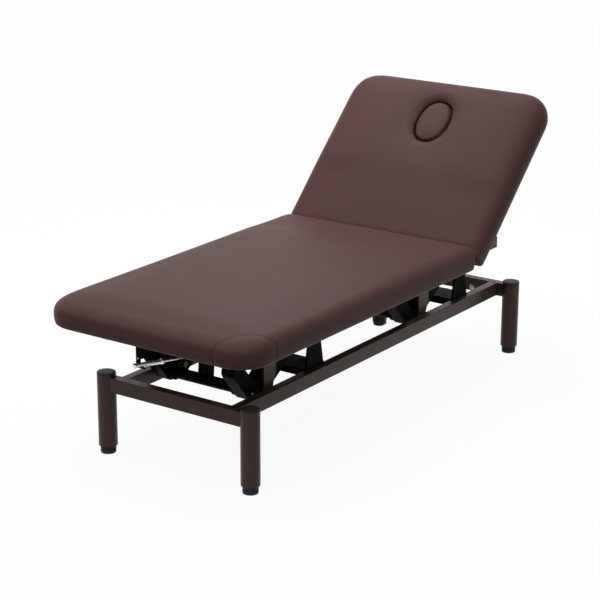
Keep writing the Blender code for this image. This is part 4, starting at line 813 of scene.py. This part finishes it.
# %% [markdown]
# The cushions are foam under a stretched cover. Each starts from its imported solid, so its hole and its pockets for
# the hinge and the strut stay where they are. The copy is merged, remeshed into even small faces, smoothed, grown by
# a few millimetres, and then blown up by cloth simulation with the underside held, as the board holds it. The
# swelling is capped, so the cover stays clear of its neighbours, and evened, so that it stays tight.


# %% Cushion helpers
def merged_copy(node):
    """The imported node's mesh in a new bmesh, with its loose triangles joined."""
    bm = bmesh.new()
    bm.from_mesh(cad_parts[node].data)
    bmesh.ops.remove_doubles(bm, verts=bm.verts, dist=JOIN_GAP)
    return bm


def apply_modifiers(thing):
    """Swap the mesh for what its modifiers make of it."""
    bpy.context.view_layer.update()
    shown = thing.evaluated_get(bpy.context.evaluated_depsgraph_get())
    mesh = bpy.data.meshes.new_from_object(shown)
    thing.modifiers.clear()
    thing.data = mesh


def remeshed(thing, voxel):
    change = thing.modifiers.new("voxels", "REMESH")
    change.mode = "VOXEL"
    change.voxel_size = voxel
    apply_modifiers(thing)


def columns(thing):
    """The mesh's places and normals as number tables, and the two ends of every edge."""
    places = np.array([v.co for v in thing.data.vertices])
    normals = np.array([v.normal for v in thing.data.vertices])
    ends = np.array([e.vertices for e in thing.data.edges])
    return places, normals, ends


def neighbours_mean(values, ends):
    """For each point, the mean of a number over the points that an edge joins it to."""
    first, second = ends[:, 0], ends[:, 1]
    count = np.bincount(ends.ravel(), minlength=len(values))
    total = np.bincount(first, values[second], len(values)) + np.bincount(second, values[first], len(values))
    return total / count


def set_places(thing, places):
    thing.data.vertices.foreach_set("co", places.ravel())
    thing.data.update()


def relaxed(thing, rounds, share):
    """Smooth the mesh a few times, each point by its share, so that no step is left."""
    places, _, ends = columns(thing)
    free = np.array([share(v.co) for v in thing.data.vertices])
    for _ in range(rounds):
        for axis in range(3):
            mean = neighbours_mean(places[:, axis], ends)
            places[:, axis] += 0.5 * free * (mean - places[:, axis])
    set_places(thing, places)


def moved(thing, step):
    """Move each point by step(place, normal). All normals are read before any point moves."""
    places = [(v.co.copy(), v.normal.copy()) for v in thing.data.vertices]
    numbers = []
    for place, normal in places:
        numbers.extend(place + step(place, normal))
    thing.data.vertices.foreach_set("co", numbers)
    thing.data.update()


PRESSURE = 4.0


def blown_up(thing, share, cap, frames=20, rounds=70):
    """Swell the closed cover by cloth simulation; share(place) is 0 where it is held and 1 where it is free.

    Only the way outwards is kept, up to cap, and evened out, so that the cover is tight.
    """
    start, normals, ends = columns(thing)
    free = np.array([share(v.co) for v in thing.data.vertices])
    held = thing.vertex_groups.new(name="held")
    for number, value in enumerate(free):
        held.add([number], 1 - value, "REPLACE")
    clear_of_seam_groove_shade = thing.modifiers.new("clear_of_seam_groove_shade", "CLOTH")
    clear_of_seam_groove_shade.settings.use_pressure = True
    clear_of_seam_groove_shade.settings.uniform_pressure_force = PRESSURE
    clear_of_seam_groove_shade.settings.vertex_group_mass = "held"
    clear_of_seam_groove_shade.settings.effector_weights.gravity = 0.0
    scene = bpy.context.scene
    for number in range(1, frames + 1):
        scene.frame_set(number)
    apply_modifiers(thing)
    scene.frame_set(1)
    push = ((columns(thing)[0] - start) * normals).sum(axis=1)
    farthest = float(push.max())
    push = np.clip(push, 0, cap)
    for _ in range(rounds):
        push = 0.5 * push + 0.5 * neighbours_mean(push, ends)
    set_places(thing, start + normals * (push * free)[:, None])
    thing.vertex_groups.clear()
    return farthest


def ramp(value, start, stop):
    """0 before start, 1 after stop, smooth between. A pair such as SEAT_HELD is a start and a stop."""
    share = min(1.0, max(0.0, (value - start) / (stop - start)))
    return share * share * (3 - 2 * share)


print("cushion tools")

# %% [markdown]
# The seat cushion is the long pad. Its underside is held, and so is its head end, which meets the back, with a long
# even change to the free part. The cover of a real one is pulled tight over the long sides and puckers very slightly
# along the lower edge, where it is stapled, so a faint wave is added there.

# %% Seat cushion
SEAT_VOXEL = 8.0 * MM
SEAT_GROW = 1.0 * MM
SEAT_SWELL = 7.0 * MM
SEAT_HELD = (6 * MM, 30 * MM)
FOOT_ROLL = 8.0 * MM
FOOT_ROLL_RUN = 190 * MM
FOLD_DIP = 1.0 * MM
FOLD_RUN = 8 * MM
SIDE_TO_TOP = (45 * MM, 6 * MM)
HEAD_HELD = (15 * MM, 260 * MM)
HEM_DEPTH = 0.5 * MM
HEM_WAVE = 45 * MM
HEM_RISE = (0, 8 * MM)
HEM_FADE = (20 * MM, 45 * MM)
EDGE_BEFORE_HINGE = 42.5 * MM
HINGE = middle("hinge_pin_left")
seat_edge = HINGE.x - EDGE_BEFORE_HINGE
seat_low, seat_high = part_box("seat_cushion")


def seat_freedom(place):
    rise = ramp(place.z - seat_low.z, *SEAT_HELD)
    return rise * ramp(seat_high.x - place.x, *HEAD_HELD)


seat = from_bmesh("seat_pad", merged_copy("seat_cushion"))
remeshed(seat, SEAT_VOXEL)
relaxed(seat, 12, seat_freedom)
moved(seat, lambda place, normal: normal * (SEAT_GROW * seat_freedom(place)))
print("seat swelled by", round(1000 * blown_up(seat, seat_freedom, SEAT_SWELL), 1), "mm before the cap")


def seat_shape(place, normal):
    """The roll at the foot end is wider than the other edges, and the head end's edge turns down into the fold."""
    top = ramp(place.z, seat_low.z + SIDE_TO_TOP[0], seat_high.z - SIDE_TO_TOP[1])
    roll = (1 - ramp(place.x, seat_low.x, seat_low.x + FOOT_ROLL_RUN)) ** 2
    fold = math.exp(-(max(seat_edge - place.x, 0) / FOLD_RUN) ** 2)
    return Vector((0, 0, -top * (FOOT_ROLL * roll + FOLD_DIP * fold)))


moved(seat, seat_shape)


def hem_wave(place, normal):
    """Faint puckers just above the lower edge."""
    height = place.z - seat_low.z
    hem = ramp(height, *HEM_RISE) * (1 - ramp(height, *HEM_FADE))
    return normal * (HEM_DEPTH * hem * seat_freedom(place) * noise.noise(place / HEM_WAVE))


moved(seat, hem_wave)
print("seat", len(seat.data.vertices), "points")

# %% [markdown]
# The corner panel. The cover is cut from one sheet, and a separate panel is sewn over the left foot corner. Seen from
# above the seam is nearly an arc round the corner, and it widens as it runs down the end and the side. The number
# corner_seam keeps each point's distance to it, and the mesh is dented a little along it.

# %% Corner seam on the seat
SEAM_CENTRE = Vector((0.0154, 0.013))
SEAM_RADIUS = 93.0 * MM
SEAM_SPREAD = 17.0 * MM
SEAM_DEPTH = 1.2 * MM
SEAM_WIDTH = 5 * MM
SEAM_TURN = (24 * MM, 5 * MM)
PANEL_PUFF = 0.6 * MM
PUFF_MIDDLE = 22 * MM
PUFF_WIDTH = 16 * MM
OFF_SEAM = 1.0
foot_end = seat_low.x
half_width = seat_high.y


def seam_distance(place):
    """Distance outwards from the panel's seam, in plan."""
    along = place.x - (foot_end + SEAM_CENTRE.x)
    across = half_width - SEAM_CENTRE.y + place.y
    flat = ramp(place.z, seat_high.z - SEAM_TURN[0], seat_high.z - SEAM_TURN[1])
    return math.hypot(along, across) - (SEAM_RADIUS + SEAM_SPREAD * (1 - flat))


def panel_shape(place, normal):
    """A groove along the seam and a faint puff inside it."""
    away = seam_distance(place)
    groove = math.exp(-(away / SEAM_WIDTH) ** 2)
    puff = math.exp(-((away + PUFF_MIDDLE) / PUFF_WIDTH) ** 2) if away < 0 else 0.0
    return normal * (seat_freedom(place) * (PANEL_PUFF * puff - SEAM_DEPTH * groove))


moved(seat, panel_shape)
# From this number the sewn leather paints the seam's groove dark, as painted shade.
numbers = seat.data.attributes.new("corner_seam", "FLOAT", "POINT")
for vert, number in zip(seat.data.vertices, numbers.data):
    number.value = seam_distance(vert.co) if vert.co.z > seat_low.z + 1 * MM else OFF_SEAM
print("seam radius", round(1000 * SEAM_RADIUS), "mm")

# %% [markdown]
# A finished pad is smooth, subdivided once, rides on its body and takes its node's place.


# %% Finish a pad
def finish_pad(pad, body, finish, fill, *nodes):
    pad.data.shade_smooth()
    pad.data.materials.clear()
    pad.data.materials.append(finish)
    relax = pad.modifiers.new("round", "SUBSURF")
    relax.levels = relax.render_levels = 1
    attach(pad, body)
    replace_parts(pad, *nodes)


finish_pad(seat, "seat_frame", sewn_leather, 0.8, "seat_cushion")
print("seat pad rides on the seat frame")

# %% [markdown]
# The back cushion tilts about the hinge, so its freedom is worked out in its own flat frame: how far along the
# back a point is, and how high above its board. It is held at the hinge and on its underside. Round the face hole
# the cover is pulled down into the hole, so the surface rolls over in a soft rim.

# %% Back cushion
BACK_VOXEL = 6.0 * MM
BACK_GROW = 3.5 * MM
BACK_SWELL = 9.0 * MM
BACK_HELD = (8 * MM, 30 * MM)
RIM_HELD = (2 * MM, 30 * MM)
HEEL_RUN = 260 * MM
SIDE_ROLL = 4.0 * MM
SIDE_ROLL_RUN = 85 * MM
HEEL_DIP = 2.0 * MM
HEEL_DIP_AT = -2 * MM
HEEL_DIP_RUN = 7 * MM
RIM_DIP = 4.0 * MM
RIM_RUN = 8 * MM
HOLE_DISTANCE = 445.0 * MM
HOLE_LENGTH = 168.0 * MM
HOLE_WIDTH = 126.0 * MM
TILT = math.radians(43.87)
ALONG = Vector((math.cos(TILT), 0, math.sin(TILT)))
THROUGH = Vector((-math.sin(TILT), 0, math.cos(TILT)))
BACK_TOP = 30.0 * MM
BACK_UNDER = -53.0 * MM


def on_back(place):
    """(along, across, height above the hinge) of a point, with the back laid flat."""
    step = place - Vector((HINGE.x, 0, HINGE.z))
    return step.dot(ALONG), step.y, step.dot(THROUGH)


def hole_distance(along, across):
    """About how far a point is outside the oval face hole."""
    u = (along - HOLE_DISTANCE) / (HOLE_LENGTH / 2)
    v = across / (HOLE_WIDTH / 2)
    reach = math.hypot(u, v)
    return (reach - 1) * (HOLE_WIDTH / 2 if abs(v) > abs(u) else HOLE_LENGTH / 2)


def back_freedom(place):
    along, across, height = on_back(place)
    rise = ramp(height - BACK_UNDER, *BACK_HELD)
    heel = ramp(along, 0, HEEL_RUN)
    rim = ramp(hole_distance(along, across), *RIM_HELD)
    return rise * heel * rim


back = from_bmesh("back_pad", merged_copy("back_cushion"))
remeshed(back, BACK_VOXEL)
relaxed(back, 16, back_freedom)
moved(back, lambda place, normal: normal * (BACK_GROW * back_freedom(place)))
print("back swelled by", round(1000 * blown_up(back, back_freedom, BACK_SWELL), 1), "mm before the cap")

back_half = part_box("back_cushion")[1].y
back_end = max(on_back(v.co)[0] for v in back.data.vertices)


def back_shape(place, normal):
    """The cover rolls over at the rim of the hole, at the fold and along the outer edges."""
    along, across, height = on_back(place)
    top = ramp(height, BACK_UNDER + 20 * MM, BACK_TOP - 4 * MM)
    away = hole_distance(along, across)
    rim = RIM_DIP * math.exp(-(max(away, 0) / RIM_RUN) ** 2)
    fold = HEEL_DIP * math.exp(-((along - HEEL_DIP_AT) / HEEL_DIP_RUN) ** 2)
    edge = min(back_half - abs(across), back_end - along)
    roll = SIDE_ROLL * (1 - ramp(edge, 0, SIDE_ROLL_RUN)) ** 2
    return THROUGH * -(top * (rim + fold + roll))


moved(back, back_shape)
finish_pad(back, "back", leather, 0.8, "back_cushion")
print("back", len(back.data.vertices), "points")

# %% [markdown]
# The face plug is a small oval pad that fills the face hole. It is tightly stuffed, with a rounded shoulder that
# leaves a dark groove to the cushion.

# %% Face plug
PLUG_VOXEL = 3.0 * MM
PLUG_SWELL = 6.0 * MM
PLUG_HELD = (-10 * MM, 14 * MM)
SHOULDER_IN = 3.6 * MM
SHOULDER_DOWN = 4.0 * MM
SHOULDER_RUN = 7 * MM
plug = from_bmesh("face_pad", merged_copy("face_plug"))
remeshed(plug, PLUG_VOXEL)


def plug_freedom(place):
    return ramp(on_back(place)[2], *PLUG_HELD)


relaxed(plug, 6, plug_freedom)
swelled = blown_up(plug, plug_freedom, PLUG_SWELL, rounds=8)
print("plug swelled by", round(1000 * swelled, 1), "mm before the cap")


def plug_shoulder(place, normal):
    """Draw the shoulder in and down, so that a dark groove is left round the plug."""
    along, across, height = on_back(place)
    inside = -hole_distance(along, across)
    shoulder = math.exp(-(max(inside, 0) / SHOULDER_RUN) ** 2) * plug_freedom(place)
    toward = ALONG * (HOLE_DISTANCE - along) - Vector((0, across, 0))
    return toward.normalized() * (SHOULDER_IN * shoulder) - THROUGH * (SHOULDER_DOWN * shoulder)


moved(plug, plug_shoulder)
finish_pad(plug, "face_plug", leather, 0.9, "face_plug")
print("plug", len(plug.data.vertices), "points")
